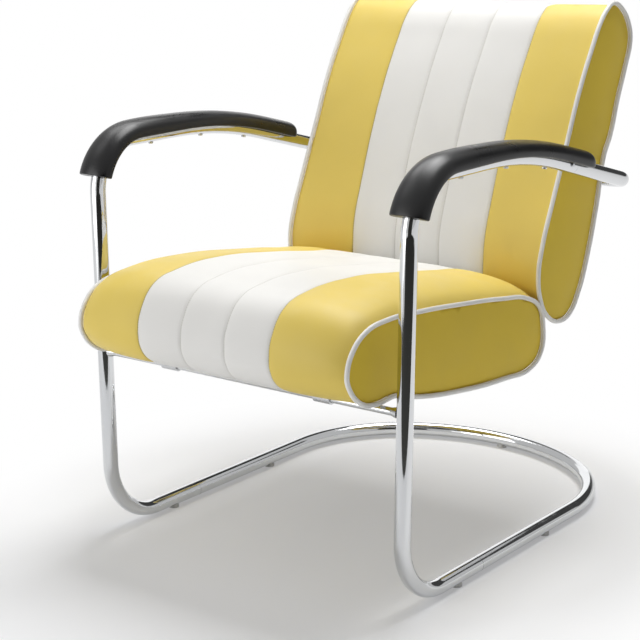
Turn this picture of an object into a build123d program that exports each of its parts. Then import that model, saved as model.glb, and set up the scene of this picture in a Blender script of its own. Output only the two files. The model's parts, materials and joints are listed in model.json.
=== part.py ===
"""Lounge chair: a sprung loop of chromed tube that carries a striped, piped seat and backrest.

All lengths are in millimetres. +Z is up, the chair faces -Y, and +X is on the left of a person
sitting in it. The origin is on the floor, under the middle of the chair's bounding box.
"""

import math
import os

from build123d import *

os.makedirs("parts", exist_ok=True)

# Overall sizes
overall_depth = 849.5
fit_gap = 0.3
front = -overall_depth / 2
back = overall_depth / 2

# Bent tube of the frame
tube_diameter = 25.0
tube_wall = 2.0
tube_radius = tube_diameter / 2
bore_radius = tube_radius - tube_wall

# Floor hoop
glide_height = 3.5
runner_spacing = 579.2
hoop_corner_radius = 238.0
hoop_turn = 60.0
runner_x = runner_spacing / 2
floor_tube_z = glide_height + tube_radius
hoop_rear_y = back - tube_radius
hoop_rear_radius = (
    runner_x - hoop_corner_radius * (1 - math.cos(math.radians(hoop_turn)))
) / math.cos(math.radians(hoop_turn))
hoop_corner_y = (
    hoop_rear_y
    - hoop_corner_radius * math.sin(math.radians(hoop_turn))
    - hoop_rear_radius * (1 - math.sin(math.radians(hoop_turn)))
)

# Uprights and arms
arm_spacing = 600.0
arm_tube_height = 644.5
upright_foot_setback = 92.9
upright_head_setback = 101.6
foot_bend_radius = 100.0
arm_bend_radius = 80.0
arm_crest_setback = 393.7
arm_crest_radius = 800.0
arm_slope = 15.2
rear_bar_setback = 742.0
rear_bend_radius = 45.0
arm_x = arm_spacing / 2
foot_corner_y = front + upright_foot_setback
head_corner_y = front + upright_head_setback
arm_crest_y = front + arm_crest_setback
rear_bar_y = front + rear_bar_setback
arm_fall = math.tan(math.radians(arm_slope))


def sloping_arm_z(y):
    """Height of the arm's centreline on its straight rear slope."""
    return arm_tube_height - (y - arm_crest_y) * arm_fall


rear_bar_z = sloping_arm_z(rear_bar_y)

# Joints in the tube, each with a sleeve inside
runner_joint_setback = 297.0
arm_joint_setback = 542.0
sleeve_length = 60.0
sleeve_wall = 2.0
sleeve_gap = 0.1
runner_joint_y = front + runner_joint_setback
arm_joint_y = front + arm_joint_setback
arm_joint_z = sloping_arm_z(arm_joint_y)
lock_screw_setback = 524.0
lock_screw_head_radius = 4.5
lock_screw_head_height = 2.6
lock_screw_shank_radius = 2.0
lock_screw_length = 8.0
vent_setback = 660.0
vent_radius = 2.5

# Front cross bar, with its weld beads
cross_bar_radius = 6.0
cross_bar_setback = 97.0
cross_bar_drop = 333.5
weld_radius = 9.0
weld_length = 6.0
cross_bar_y = front + cross_bar_setback
cross_bar_z = arm_tube_height - cross_bar_drop

# Floor glides
glide_radius = 9.0
glide_saddle_rise = 6.0
glide_peg_radius = 3.0
glide_peg_reach = 4.0
front_glide_setback = 239.0
side_glide_setback = 499.0

# Arm pads
pad_front_angle = 19.5
pad_tail_setback = 590.0
pad_half_width = 28.0
pad_bottom_rise = 5.0
pad_crown_rise = 28.8
pad_edge_band = 4.0
pad_tail_length = 20.0
pad_tail_lift = 5.0
pad_tail_end_share = 0.05
pad_tail_least = math.sqrt(1 - (1 - pad_tail_end_share) ** 2)
pad_screw_setbacks = (226.7, 349.3, 462.8)
pad_screw_radius = 2.0
pad_screw_head_radius = 4.5
pad_screw_head_height = 2.4
pad_screw_reach = 22.0
screw_head_taper = 20
dome_taper = 35

# Upholstery, common sizes
piping_diameter = 7.5
piping_spacing = 508.0
cover_thickness = 2.5
piping_radius = piping_diameter / 2
corner_share = 0.3
piping_x = piping_spacing / 2
piping_inset = (piping_radius + fit_gap) / math.sqrt(2)
side_x = piping_x - piping_inset

# Seat cushion: the piping's outline and the crowned middle, as shares of the seat's box
seat_depth = 548.1
seat_drop = 368.5
seat_thickness = 198.2
seat_seam_x = 124.7
seat_front_y = front - piping_inset
seat_bottom_z = arm_tube_height - seat_drop
seat_piping_shares = (
    (0.032, 0.530), (0.057, 0.684), (0.114, 0.792), (0.200, 0.825), (0.364, 0.800),
    (0.561, 0.742), (0.762, 0.669), (0.915, 0.583), (0.978, 0.474), (1.000, 0.308),
    (0.991, 0.101), (0.937, 0.000), (0.796, 0.000), (0.554, 0.061), (0.335, 0.165),
    (0.250, 0.235), (0.145, 0.235), (0.090, 0.284), (0.039, 0.434),
)
seat_middle_shares = (
    (0.000, 0.560), (0.020, 0.760), (0.074, 0.926), (0.172, 0.993), (0.350, 1.000),
    (0.548, 0.934), (0.762, 0.840), (0.920, 0.750), (0.988, 0.612), (0.999, 0.348),
    (0.991, 0.101), (0.937, 0.000), (0.796, 0.000), (0.554, 0.061), (0.335, 0.165),
    (0.250, 0.235), (0.145, 0.235), (0.062, 0.272), (0.014, 0.392),
)
seat_crown_shares = ((0.0, 1.0), (0.52, 0.88), (0.83, 0.58), (1.0, 0.0))
seat_board_edges = (11, 17)
seat_opening_edges = (11, 16)

# Backrest cushion, in the same way
back_setback = 524.6
back_drop = 311.5
back_depth = 288.7
back_height = 507.0
back_seam_x = 133.5
back_front_y = front + back_setback
back_bottom_z = arm_tube_height - back_drop
back_piping_shares = (
    (0.007, 0.180), (0.047, 0.276), (0.134, 0.389), (0.290, 0.580), (0.404, 0.724),
    (0.539, 0.858), (0.650, 0.950), (0.712, 0.981), (0.775, 0.998), (0.872, 0.983),
    (0.983, 0.915), (1.000, 0.868), (0.945, 0.783), (0.868, 0.686), (0.791, 0.570),
    (0.722, 0.507), (0.653, 0.353), (0.545, 0.171), (0.466, 0.079), (0.368, 0.016),
    (0.251, 0.002), (0.114, 0.035), (0.031, 0.102),
)
back_middle_shares = (
    (0.075, 0.180), (0.092, 0.276), (0.158, 0.389), (0.285, 0.580), (0.407, 0.726),
    (0.553, 0.869), (0.638, 0.940), (0.703, 0.974), (0.766, 0.992), (0.868, 0.979),
    (0.976, 0.909), (0.989, 0.860), (0.939, 0.780), (0.868, 0.686), (0.791, 0.570),
    (0.722, 0.507), (0.653, 0.353), (0.545, 0.171), (0.466, 0.079), (0.368, 0.016),
    (0.262, 0.006), (0.146, 0.041), (0.085, 0.104),
)
back_crown_shares = ((0.0, 1.0), (0.5, 0.6), (0.82, 0.25), (1.0, 0.0))
back_board_edges = (13, 18)
back_opening_edges = (13, 18)
back_face_edge = 15
back_heel_edge = 16

# Boards inside the cushions, and the openings that their dust cover and rear panel close
board_thickness = 12.0
board_half_width = 232.0
board_end_share = 0.35
opening_margin = 6.0
opening_end_share = 0.45

# Clips that hold the cushions on the two bars
clip_x = 150.0
clip_width = 30.0
clip_thickness = 2.5
clip_ear = 12.0
clip_screw_radius = 2.5
clip_screw_head_radius = 5.0
clip_screw_head_height = 2.6
clip_screw_reach = 13.0

# Flat steel brackets that join the seat to the backrest
bracket_x = 95.0
bracket_width = 30.0
bracket_thickness = 5.0
bracket_front_setback = 430.0
bracket_knee_setback = 542.0
bracket_heel_drop = 299.5
bracket_top_drop = 144.5
bracket_bend_radius = 15.0
bracket_seat_screw_shares = (0.1, 0.3)
bracket_back_screw_shares = (0.1, 0.4)
bracket_heel_z = arm_tube_height - bracket_heel_drop
bracket_top_z = arm_tube_height - bracket_top_drop


def ring_inset(points, amount):
    """Move a clockwise closed outline inwards by one distance, keeping its corners mitred."""
    moved = []
    count = len(points)
    for index, (y, z) in enumerate(points):
        before = points[index - 1]
        after = points[(index + 1) % count]
        to_here = math.hypot(y - before[0], z - before[1])
        from_here = math.hypot(after[0] - y, after[1] - z)
        first = ((z - before[1]) / to_here, (before[0] - y) / to_here)
        second = ((after[1] - z) / from_here, (y - after[0]) / from_here)
        spread = 1 + first[0] * second[0] + first[1] * second[1]
        moved.append(
            (
                y + amount * (first[0] + second[0]) / spread,
                z + amount * (first[1] + second[1]) / spread,
            )
        )
    return moved


def placed(shares, corner, size):
    """Turn shares of a box into points of the side view."""
    return [(corner[0] + y * size[0], corner[1] + z * size[1]) for y, z in shares]


def blended(edge_points, middle_points, crown):
    """Mix the piping's outline with the middle outline."""
    return [
        (edge[0] + crown * (middle[0] - edge[0]), edge[1] + crown * (middle[1] - edge[1]))
        for edge, middle in zip(edge_points, middle_points)
    ]


seat_piping_points = placed(
    seat_piping_shares, (seat_front_y, seat_bottom_z), (seat_depth, seat_thickness)
)
seat_middle_points = placed(
    seat_middle_shares, (seat_front_y, seat_bottom_z), (seat_depth, seat_thickness)
)
back_piping_points = placed(
    back_piping_shares, (back_front_y, back_bottom_z), (back_depth, back_height)
)
back_middle_points = placed(
    back_middle_shares, (back_front_y, back_bottom_z), (back_depth, back_height)
)


def between(first, second, share):
    """A point part-way from one point to another."""
    return tuple(here + share * (there - here) for here, there in zip(first, second))


def eased_corners(points):
    """The start, middle and end of the curve that eases each corner of a closed outline."""
    corners = []
    for index, corner in enumerate(points):
        before = points[index - 1]
        after = points[(index + 1) % len(points)]
        reach = corner_share * min(math.dist(before, corner), math.dist(corner, after))
        start = between(corner, before, reach / math.dist(before, corner))
        end = between(corner, after, reach / math.dist(corner, after))
        corners.append((start, corner, end))
    return corners


def draw_outline(points):
    """Draw a whole outline, its corners eased, into the line that is being built."""
    corners = eased_corners(points)
    for index, (start, corner, end) in enumerate(corners):
        Bezier(start, corner, end)
        Line(end, corners[(index + 1) % len(corners)][0])


def draw_run(points, edges, end_share):
    """Draw an outline from part-way along one edge to part-way along another; give its ends."""
    first, last = edges
    run_start = between(points[first], points[first + 1], end_share)
    run_end = between(points[last], points[last - 1], end_share)
    here = run_start
    for start, corner, end in eased_corners(points)[first + 1 : last]:
        Line(here, start)
        Bezier(start, corner, end)
        here = end
    Line(here, run_end)
    return run_start, run_end


def outline_section(points, x):
    """One closed outline of a cushion, on a plane across the chair."""
    with BuildSketch(Plane.YZ.offset(x)) as section:
        with BuildLine():
            draw_outline(points)
        make_face()
    return section.sketch


def shoulder_sections(edge_points, middle_points, crown_shares, seam_x, depth, side):
    """Outlines of a cushion from its seam out to its side panel, inset by a depth."""
    end_x = side_x - cover_thickness
    return [
        outline_section(
            ring_inset(blended(edge_points, middle_points, crown), depth),
            side * (seam_x + share * (end_x - seam_x)),
        )
        for share, crown in crown_shares
    ]


def cover_stripe(edge_points, middle_points, crown_shares, seam_x, side):
    """The yellow stripe of a cover: a closed band of hide round one shoulder of the cushion."""
    outer = shoulder_sections(
        edge_points, middle_points, crown_shares, seam_x, piping_inset, side
    )
    inner = shoulder_sections(
        edge_points, middle_points, crown_shares, seam_x, piping_inset + cover_thickness, side
    )
    with BuildPart() as stripe:
        loft(sections=outer, ruled=True)
        loft(sections=inner, ruled=True, mode=Mode.SUBTRACT)
    return stripe.part


def cover_middle(middle_points, seam_x):
    """The white middle of a cover: a closed band of hide between the two seams."""
    outer = outline_section(ring_inset(middle_points, piping_inset), -seam_x)
    inner = outline_section(
        ring_inset(middle_points, piping_inset + cover_thickness), -seam_x
    )
    with BuildPart() as middle:
        extrude(outer, amount=2 * seam_x, dir=(1, 0, 0))
        extrude(inner, amount=2 * seam_x, dir=(1, 0, 0), mode=Mode.SUBTRACT)
    return middle.part


def cushion_filling(edge_points, middle_points, crown_shares, seam_x):
    """The whole filling of a cushion, just inside its cover."""
    depth = piping_inset + cover_thickness + fit_gap
    with BuildPart() as filling:
        extrude(
            outline_section(ring_inset(middle_points, depth), -seam_x),
            amount=2 * seam_x,
            dir=(1, 0, 0),
        )
        for side in (-1, 1):
            loft(
                sections=shoulder_sections(
                    edge_points, middle_points, crown_shares, seam_x, depth, side
                ),
                ruled=True,
            )
    return filling.part


def side_panel(edge_points, side):
    """The flat hide panel that closes one side of a cushion."""
    start_x = side_x - cover_thickness if side > 0 else -side_x
    with BuildPart() as panel:
        extrude(
            outline_section(ring_inset(edge_points, piping_inset), start_x),
            amount=cover_thickness,
            dir=(1, 0, 0),
        )
    return panel.part


def piping(edge_points, side):
    """The piping cord round one side of a cushion."""
    with BuildPart() as cord:
        with BuildLine(Plane.YZ.offset(side * piping_x)) as route:
            draw_outline(edge_points)
        with BuildSketch(Plane(origin=route.line @ 0, z_dir=route.line % 0)):
            Circle(piping_radius)
        sweep(path=route.line)
    return cord.part


def band_along(points, edges, end_share, near_depth, far_depth, half_width):
    """A wide band that follows part of a cushion's outline between two depths under it."""
    with BuildPart() as band:
        with BuildSketch(Plane.YZ.offset(-half_width)):
            with BuildLine():
                near = draw_run(ring_inset(points, near_depth), edges, end_share)
                far = draw_run(ring_inset(points, far_depth), edges, end_share)
                Line(near[0], far[0])
                Line(near[1], far[1])
            make_face()
        extrude(amount=2 * half_width)
    return band.part


def bent_board(points, edges):
    """A bent plywood board that lies just inside the cover."""
    near_depth = piping_inset + cover_thickness + fit_gap
    far_depth = near_depth + board_thickness
    return band_along(points, edges, board_end_share, near_depth, far_depth, board_half_width)


def board_pocket(points, edges):
    """The space that the board takes from the filling."""
    depth = piping_inset + cover_thickness + 2 * fit_gap + board_thickness
    end_share = board_end_share - fit_gap / board_thickness
    return band_along(points, edges, end_share, 0, depth, board_half_width + fit_gap)


def opening_band(points, edges):
    """The window in the cover that the dust cover or the rear panel closes."""
    depth = piping_inset + cover_thickness + fit_gap / 2
    half_width = board_half_width - opening_margin
    return band_along(points, edges, opening_end_share, 0, depth, half_width)


def closing_sheet(points, window):
    """The sheet that fills the window, level with the cover."""
    half_width = board_half_width - opening_margin
    outer = outline_section(ring_inset(points, piping_inset), -half_width)
    inner = outline_section(ring_inset(points, piping_inset + cover_thickness), -half_width)
    with BuildPart() as sheet:
        extrude(outer, amount=2 * half_width, dir=(1, 0, 0))
        extrude(inner, amount=2 * half_width, dir=(1, 0, 0), mode=Mode.SUBTRACT)
        add(window, mode=Mode.INTERSECT)
    return sheet.part


def save(part, name):
    """Label a finished piece and write it."""
    part.label = name
    export_step(part, f"parts/{name}.step")


def side_route(side):
    """Centreline of one side tube: runner, upright, arm and the start of its rear slope."""
    return FilletPolyline(
        (side * runner_x, runner_joint_y, floor_tube_z),
        (side * runner_x, foot_corner_y, floor_tube_z),
        (side * arm_x, head_corner_y, arm_tube_height),
        (side * arm_x, arm_crest_y, arm_tube_height),
        (side * arm_x, arm_joint_y, arm_joint_z),
        radius=(foot_bend_radius, arm_bend_radius, arm_crest_radius),
        mode=Mode.PRIVATE,
    )


def rod_along(route, radius):
    """A round solid along a route."""
    with BuildPart() as rod:
        with BuildSketch(Plane(origin=route @ 0, z_dir=route % 0)):
            Circle(radius)
        sweep(path=route)
    return rod.part


def tube_along(route, outer_radius, inner_radius):
    """A tube along a route, open at both ends."""
    with BuildPart() as tube:
        with BuildSketch(Plane(origin=route @ 0, z_dir=route % 0)):
            Circle(outer_radius)
            Circle(inner_radius, mode=Mode.SUBTRACT)
        sweep(path=route)
    return tube.part


def arm_point(y):
    """Centreline point, as y and z, of the arm at a distance from the front."""
    tangent = arm_crest_radius * math.tan(math.radians(arm_slope / 2))
    start_y = arm_crest_y - tangent
    if y <= start_y:
        return y, arm_tube_height
    turned = math.asin(min(1.0, (y - start_y) / arm_crest_radius))
    if turned <= math.radians(arm_slope):
        return y, arm_tube_height - arm_crest_radius * (1 - math.cos(turned))
    return y, sloping_arm_z(y)


def arm_tilt(y):
    """Downward slope of the arm at a distance from the front, in radians."""
    tangent = arm_crest_radius * math.tan(math.radians(arm_slope / 2))
    start_y = arm_crest_y - tangent
    if y <= start_y:
        return 0.0
    turned = math.asin(min(1.0, (y - start_y) / arm_crest_radius))
    return min(turned, math.radians(arm_slope))


def headed_screw(seat, toward, shank_radius, head_radius, head_height, reach, dome):
    """A screw whose head sits on a face and whose shank goes on past it."""
    away = tuple(-value for value in toward)
    with BuildPart() as screw:
        with BuildSketch(Plane(origin=seat, z_dir=toward)):
            Circle(shank_radius)
        extrude(amount=reach)
        with BuildSketch(Plane(origin=seat, z_dir=away)):
            Circle(head_radius)
        extrude(amount=head_height, taper=dome)
    return screw.part


def pad_screw(side, setback):
    """One arm pad screw: its head under the tube, its shank up through tube and pad."""
    y, z = arm_point(front + setback)
    tilt = arm_tilt(y)
    up = (0, math.sin(tilt), math.cos(tilt))
    drop = tube_radius + fit_gap
    return headed_screw(
        (side * arm_x, y - up[1] * drop, z - up[2] * drop),
        up,
        pad_screw_radius,
        pad_screw_head_radius,
        pad_screw_head_height,
        drop + pad_screw_reach,
        screw_head_taper,
    )


def lock_screw(side):
    """The domed screw on the outside of the arm that holds the sleeve."""
    y = front + lock_screw_setback
    return headed_screw(
        (side * (arm_x + tube_radius), y, sloping_arm_z(y)),
        (-side, 0, 0),
        lock_screw_shank_radius,
        lock_screw_head_radius,
        lock_screw_head_height,
        lock_screw_length,
        dome_taper,
    )


# Floor hoop: two runners and the bowed rear, in one bent tube
def hoop_route():
    """Centreline of the floor hoop, from the right runner round to the left one."""
    with BuildLine(Plane.XY.offset(floor_tube_z)) as route:
        runner = Line((runner_x, runner_joint_y), (runner_x, hoop_corner_y))
        first = JernArc(runner @ 1, runner % 1, hoop_corner_radius, hoop_turn)
        bow = JernArc(first @ 1, first % 1, hoop_rear_radius, 180 - 2 * hoop_turn)
        second = JernArc(bow @ 1, bow % 1, hoop_corner_radius, hoop_turn)
        Line(second @ 1, (-runner_x, runner_joint_y))
    return route.line


def glide_places():
    """Where the glides stand, in plan: two on each runner and one under the bowed rear."""
    places = [(0, hoop_rear_y)]
    for side in (-1, 1):
        places.append((side * runner_x, front + front_glide_setback))
        places.append((side * runner_x, front + side_glide_setback))
    return places


def glide_pegs(radius):
    """The pegs of the glides, or the holes for them."""
    with BuildPart() as pegs:
        with BuildSketch(Plane.XY.offset(glide_height)):
            with Locations(*glide_places()):
                Circle(radius)
        extrude(amount=tube_wall + glide_peg_reach)
    return pegs.part


def pad_screws():
    """All arm pad screws, as one part."""
    with BuildPart() as screws:
        for side in (-1, 1):
            for setback in pad_screw_setbacks:
                add(pad_screw(side, setback))
    return screws.part


def lock_screws():
    """Both sleeve screws, as one part."""
    with BuildPart() as screws:
        for side in (-1, 1):
            add(lock_screw(side))
    return screws.part


hoop_centreline = hoop_route()
side_centrelines = {side: side_route(side) for side in (-1, 1)}
all_pad_screws = pad_screws()
all_lock_screws = lock_screws()

with BuildPart() as floor_hoop:
    add(tube_along(hoop_centreline, tube_radius, bore_radius))
    add(glide_pegs(glide_peg_radius), mode=Mode.SUBTRACT)
save(floor_hoop.part, "floor_hoop")

for side, name in ((-1, "left_side_tube"), (1, "right_side_tube")):
    with BuildPart() as side_tube:
        add(tube_along(side_centrelines[side], tube_radius, bore_radius))
        add(glide_pegs(glide_peg_radius), mode=Mode.SUBTRACT)
        add(all_pad_screws, mode=Mode.SUBTRACT)
        add(all_lock_screws, mode=Mode.SUBTRACT)
    save(side_tube.part, name)


# Rear bar: it carries on from both arms and passes behind the backrest
def rear_route():
    """Centreline of the rear bar."""
    return FilletPolyline(
        (arm_x, arm_joint_y, arm_joint_z),
        (arm_x, rear_bar_y, rear_bar_z),
        (-arm_x, rear_bar_y, rear_bar_z),
        (-arm_x, arm_joint_y, arm_joint_z),
        radius=rear_bend_radius,
        mode=Mode.PRIVATE,
    )


rear_centreline = rear_route()
with BuildPart() as rear_bar:
    add(tube_along(rear_centreline, tube_radius, bore_radius))
    for side in (-1, 1):
        vent_y = front + vent_setback
        with BuildSketch(Plane.XY.offset(sloping_arm_z(vent_y))):
            with Locations((side * arm_x, vent_y)):
                Circle(vent_radius)
        extrude(amount=-tube_diameter, mode=Mode.SUBTRACT)
save(rear_bar.part, "rear_bar")

# Sleeves inside the four joints of the tube
sleeve_radius = bore_radius - sleeve_gap
arm_direction = Vector(0, 1, -arm_fall).normalized()
with BuildPart() as joint_sleeves:
    for side in (-1, 1):
        for centre, along in (
            (Vector(side * runner_x, runner_joint_y, floor_tube_z), Vector(0, 1, 0)),
            (Vector(side * arm_x, arm_joint_y, arm_joint_z), arm_direction),
        ):
            with BuildSketch(Plane(origin=centre - along * sleeve_length / 2, z_dir=along)):
                Circle(sleeve_radius)
                Circle(sleeve_radius - sleeve_wall, mode=Mode.SUBTRACT)
            extrude(amount=sleeve_length)
    add(all_lock_screws, mode=Mode.SUBTRACT)
save(joint_sleeves.part, "joint_sleeves")

save(all_lock_screws, "sleeve_lock_screws")

# Front cross bar, welded between the uprights
with BuildPart() as cross_bar:
    with BuildSketch(Plane.YZ.offset(-arm_x)):
        with Locations((cross_bar_y, cross_bar_z)):
            Circle(cross_bar_radius)
    extrude(amount=2 * arm_x)
    for side in (-1, 1):
        with BuildSketch(Plane.YZ.offset(side * (runner_x - tube_radius / 2))):
            with Locations((cross_bar_y, cross_bar_z)):
                Circle(weld_radius)
        with BuildSketch(Plane.YZ.offset(side * (runner_x - tube_radius - weld_length))):
            with Locations((cross_bar_y, cross_bar_z)):
                Circle(cross_bar_radius)
        loft()
    for side in (-1, 1):
        add(rod_along(side_centrelines[side], tube_radius), mode=Mode.SUBTRACT)
    middle_bar = cross_bar.part.solids().sort_by(lambda solid: solid.volume)[-1]
with BuildPart() as cross_bar_trimmed:
    add(middle_bar)
save(cross_bar_trimmed.part, "cross_bar")

# Floor glides, each saddled to the tube above it
with BuildPart() as floor_glides:
    with BuildSketch():
        with Locations(*glide_places()):
            Circle(glide_radius)
    extrude(amount=glide_height + glide_saddle_rise)
    add(rod_along(hoop_centreline, tube_radius), mode=Mode.SUBTRACT)
    for side in (-1, 1):
        add(rod_along(side_centrelines[side], tube_radius), mode=Mode.SUBTRACT)
    add(glide_pegs(glide_peg_radius))
save(floor_glides.part, "floor_glides")


# Arm pads
def pad_section(centre, along, half_width, bottom, crown):
    """One section of an arm pad, square to the arm's centreline."""
    with BuildSketch(
        Plane(origin=centre, x_dir=(1, 0, 0), z_dir=tuple(-value for value in along))
    ) as section:
        with BuildLine():
            Polyline(
                (-half_width, bottom + pad_edge_band),
                (-half_width, bottom),
                (half_width, bottom),
                (half_width, bottom + pad_edge_band),
            )
            ThreePointArc(
                (half_width, bottom + pad_edge_band),
                (0, crown),
                (-half_width, bottom + pad_edge_band),
            )
        make_face()
    return section.sketch


def arm_pad(side):
    """One arm pad: wide over the front bend, narrower to the rear, with a rounded tail."""
    bend_centre_y = head_corner_y + arm_bend_radius
    bend_centre_z = arm_tube_height - arm_bend_radius
    bend_shares = ((0.0, 1.14), (0.25, 1.13), (0.5, 1.10), (0.75, 1.07), (1.0, 1.04))
    first_angle = math.radians(pad_front_angle)
    sections = []
    for share, width_share in bend_shares:
        angle = first_angle + share * (math.pi / 2 - first_angle)
        centre = (
            side * arm_x,
            bend_centre_y - arm_bend_radius * math.cos(angle),
            bend_centre_z + arm_bend_radius * math.sin(angle),
        )
        along = (0, math.sin(angle), math.cos(angle))
        sections.append(
            pad_section(
                centre,
                along,
                pad_half_width * width_share,
                pad_bottom_rise,
                pad_crown_rise,
            )
        )
    tail_y = front + pad_tail_setback
    straight_start = bend_centre_y
    straight_shares = ((0.25, 1.0), (0.5, 0.97), (0.75, 0.93), (1.0, 0.89))
    body_end = tail_y - pad_tail_length
    for share, width_share in straight_shares:
        y, z = arm_point(straight_start + share * (body_end - straight_start))
        tilt = arm_tilt(y)
        sections.append(
            pad_section(
                (side * arm_x, y, z),
                (0, math.cos(tilt), -math.sin(tilt)),
                pad_half_width * width_share,
                pad_bottom_rise,
                pad_crown_rise,
            )
        )
    tail_width = pad_half_width * straight_shares[-1][1]
    tail_shares = (0.5, 0.85, 1.0)
    for share in tail_shares:
        y, z = arm_point(body_end + share * pad_tail_length)
        tilt = arm_tilt(y)
        rounding = math.sqrt(1 - (share * (1 - pad_tail_end_share)) ** 2)
        bottom = pad_bottom_rise + pad_tail_lift * (1 - rounding) / (1 - pad_tail_least)
        height = (pad_crown_rise - pad_bottom_rise - pad_edge_band - pad_tail_lift) * rounding
        sections.append(
            pad_section(
                (side * arm_x, y, z),
                (0, math.cos(tilt), -math.sin(tilt)),
                tail_width * rounding,
                bottom,
                bottom + pad_edge_band + height,
            )
        )
    with BuildPart() as pad:
        loft(sections=sections, ruled=True)
        add(rod_along(side_centrelines[side], tube_radius), mode=Mode.SUBTRACT)
        add(rod_along(rear_centreline, tube_radius), mode=Mode.SUBTRACT)
        add(all_pad_screws, mode=Mode.SUBTRACT)
    return pad.part


save(arm_pad(-1), "left_arm_pad")
save(arm_pad(1), "right_arm_pad")
save(all_pad_screws, "arm_pad_screws")


# Clips on the two bars
def bar_clip(centre, toward, bar_radius, reach, x):
    """A strap round a bar, with two ears against the cushion."""
    inner = bar_radius + fit_gap
    outer = inner + clip_thickness
    with BuildPart() as clip:
        with BuildSketch(
            Plane(
                origin=(x - clip_width / 2, centre[0], centre[1]),
                x_dir=(0, toward[0], toward[1]),
                z_dir=(1, 0, 0),
            )
        ):
            Circle(outer)
            with Locations((reach / 2, 0)):
                Rectangle(reach, 2 * outer)
            with Locations((reach - clip_thickness / 2, 0)):
                Rectangle(clip_thickness, 2 * (outer + clip_ear))
            Circle(inner, mode=Mode.SUBTRACT)
            with Locations((reach / 2, 0)):
                Rectangle(reach, 2 * inner, mode=Mode.SUBTRACT)
        extrude(amount=clip_width)
    return clip.part


def bar_spacer(centre, toward, bar_radius, reach, x):
    """The block that fills the clip between its bar and the cushion."""
    with BuildPart() as spacer:
        with BuildSketch(
            Plane(
                origin=(x - clip_width / 2, centre[0], centre[1]),
                x_dir=(0, toward[0], toward[1]),
                z_dir=(1, 0, 0),
            )
        ):
            with Locations((reach / 2, 0)):
                Rectangle(reach, 2 * bar_radius)
            Circle(bar_radius + fit_gap, mode=Mode.SUBTRACT)
        extrude(amount=clip_width)
    return spacer.part


def clip_screw(seat, toward, x):
    """A screw through a clip's ear or a bracket into the cushion's board."""
    return headed_screw(
        (x, seat[0], seat[1]),
        (0, toward[0], toward[1]),
        clip_screw_radius,
        clip_screw_head_radius,
        clip_screw_head_height,
        clip_screw_reach,
        screw_head_taper,
    )


def shifted(point, direction, distance):
    """A point of the side view, moved along a direction."""
    return (point[0] + direction[0] * distance, point[1] + direction[1] * distance)


def crossing(points, start, toward):
    """How far a line of the side view goes before it meets a cushion's outline."""
    nearest = None
    for index, first in enumerate(points):
        second = points[(index + 1) % len(points)]
        edge = (second[0] - first[0], second[1] - first[1])
        across = toward[0] * edge[1] - toward[1] * edge[0]
        if across == 0:
            continue
        gap = (first[0] - start[0], first[1] - start[1])
        distance = (gap[0] * edge[1] - gap[1] * edge[0]) / across
        share = (gap[0] * toward[1] - gap[1] * toward[0]) / across
        if distance > 0 and 0 <= share <= 1 and (nearest is None or distance < nearest):
            nearest = distance
    return nearest


seat_skin = ring_inset(seat_piping_points, piping_inset)
back_skin = ring_inset(back_piping_points, piping_inset)
bar_centre = (rear_bar_y, rear_bar_z)


def rising_edge(points, edge):
    """Unit direction of one edge of an outline, taken against the outline's own turn."""
    low = points[edge + 1]
    high = points[edge]
    length = math.dist(low, high)
    return (high[0] - low[0]) / length, (high[1] - low[1]) / length


back_face_along = rising_edge(back_skin, back_face_edge)
back_face_toward = (-back_face_along[1], back_face_along[0])
back_reach = crossing(back_skin, bar_centre, back_face_toward) - fit_gap
seat_bar_centre = (cross_bar_y, cross_bar_z)
seat_toward = (0, 1)
seat_reach = crossing(seat_skin, seat_bar_centre, seat_toward) - fit_gap


def clip_set(centre, toward, bar_radius, reach):
    """The clips, spacers and screws of one bar."""
    ear_centre = bar_radius + fit_gap + clip_thickness + clip_ear / 2
    across = (-toward[1], toward[0])
    seat = shifted(centre, toward, reach - clip_thickness)
    with BuildPart() as screws:
        for x in (-clip_x, clip_x):
            for sign in (-1, 1):
                add(clip_screw(shifted(seat, across, sign * ear_centre), toward, x))
    with BuildPart() as clips:
        for x in (-clip_x, clip_x):
            add(bar_clip(centre, toward, bar_radius, reach, x))
        add(screws.part, mode=Mode.SUBTRACT)
    with BuildPart() as spacers:
        for x in (-clip_x, clip_x):
            add(bar_spacer(centre, toward, bar_radius, reach, x))
    return clips.part, spacers.part, screws.part


seat_clips, seat_spacers, seat_clip_screws = clip_set(
    seat_bar_centre, seat_toward, cross_bar_radius, seat_reach
)
back_clips, back_spacers, back_clip_screws = clip_set(
    bar_centre, back_face_toward, tube_radius, back_reach
)

# Brackets under the seat's rear edge and up the backrest's rear face
bracket_stand_off = fit_gap + bracket_thickness / 2
bracket_seat_z = seat_skin[seat_board_edges[0]][1] - bracket_stand_off
leg_along = rising_edge(back_skin, back_heel_edge)
leg_out = (leg_along[1], -leg_along[0])
leg_start = shifted(back_skin[back_heel_edge], leg_out, bracket_stand_off)


def leg_point(z):
    """Point of the bracket's rear leg at a height."""
    return shifted(leg_start, leg_along, (z - leg_start[1]) / leg_along[1])


bracket_points = (
    (front + bracket_front_setback, bracket_seat_z),
    (front + bracket_knee_setback, bracket_seat_z),
    leg_point(bracket_heel_z),
    leg_point(bracket_top_z),
)


def bracket_places():
    """Where the bracket's screws sit, each with the direction that it goes in."""
    places = []
    flat_start, knee, heel, top = bracket_points
    for share in bracket_seat_screw_shares:
        seat = between(flat_start, knee, share)
        places.append((shifted(seat, (0, -1), bracket_thickness / 2), (0, 1)))
    inward = (-leg_out[0], -leg_out[1])
    for share in bracket_back_screw_shares:
        seat = between(top, heel, share)
        places.append((shifted(seat, leg_out, bracket_thickness / 2), inward))
    return places


with BuildPart() as bracket_screws:
    for side in (-1, 1):
        for seat, toward in bracket_places():
            add(clip_screw(seat, toward, side * bracket_x))

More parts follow.
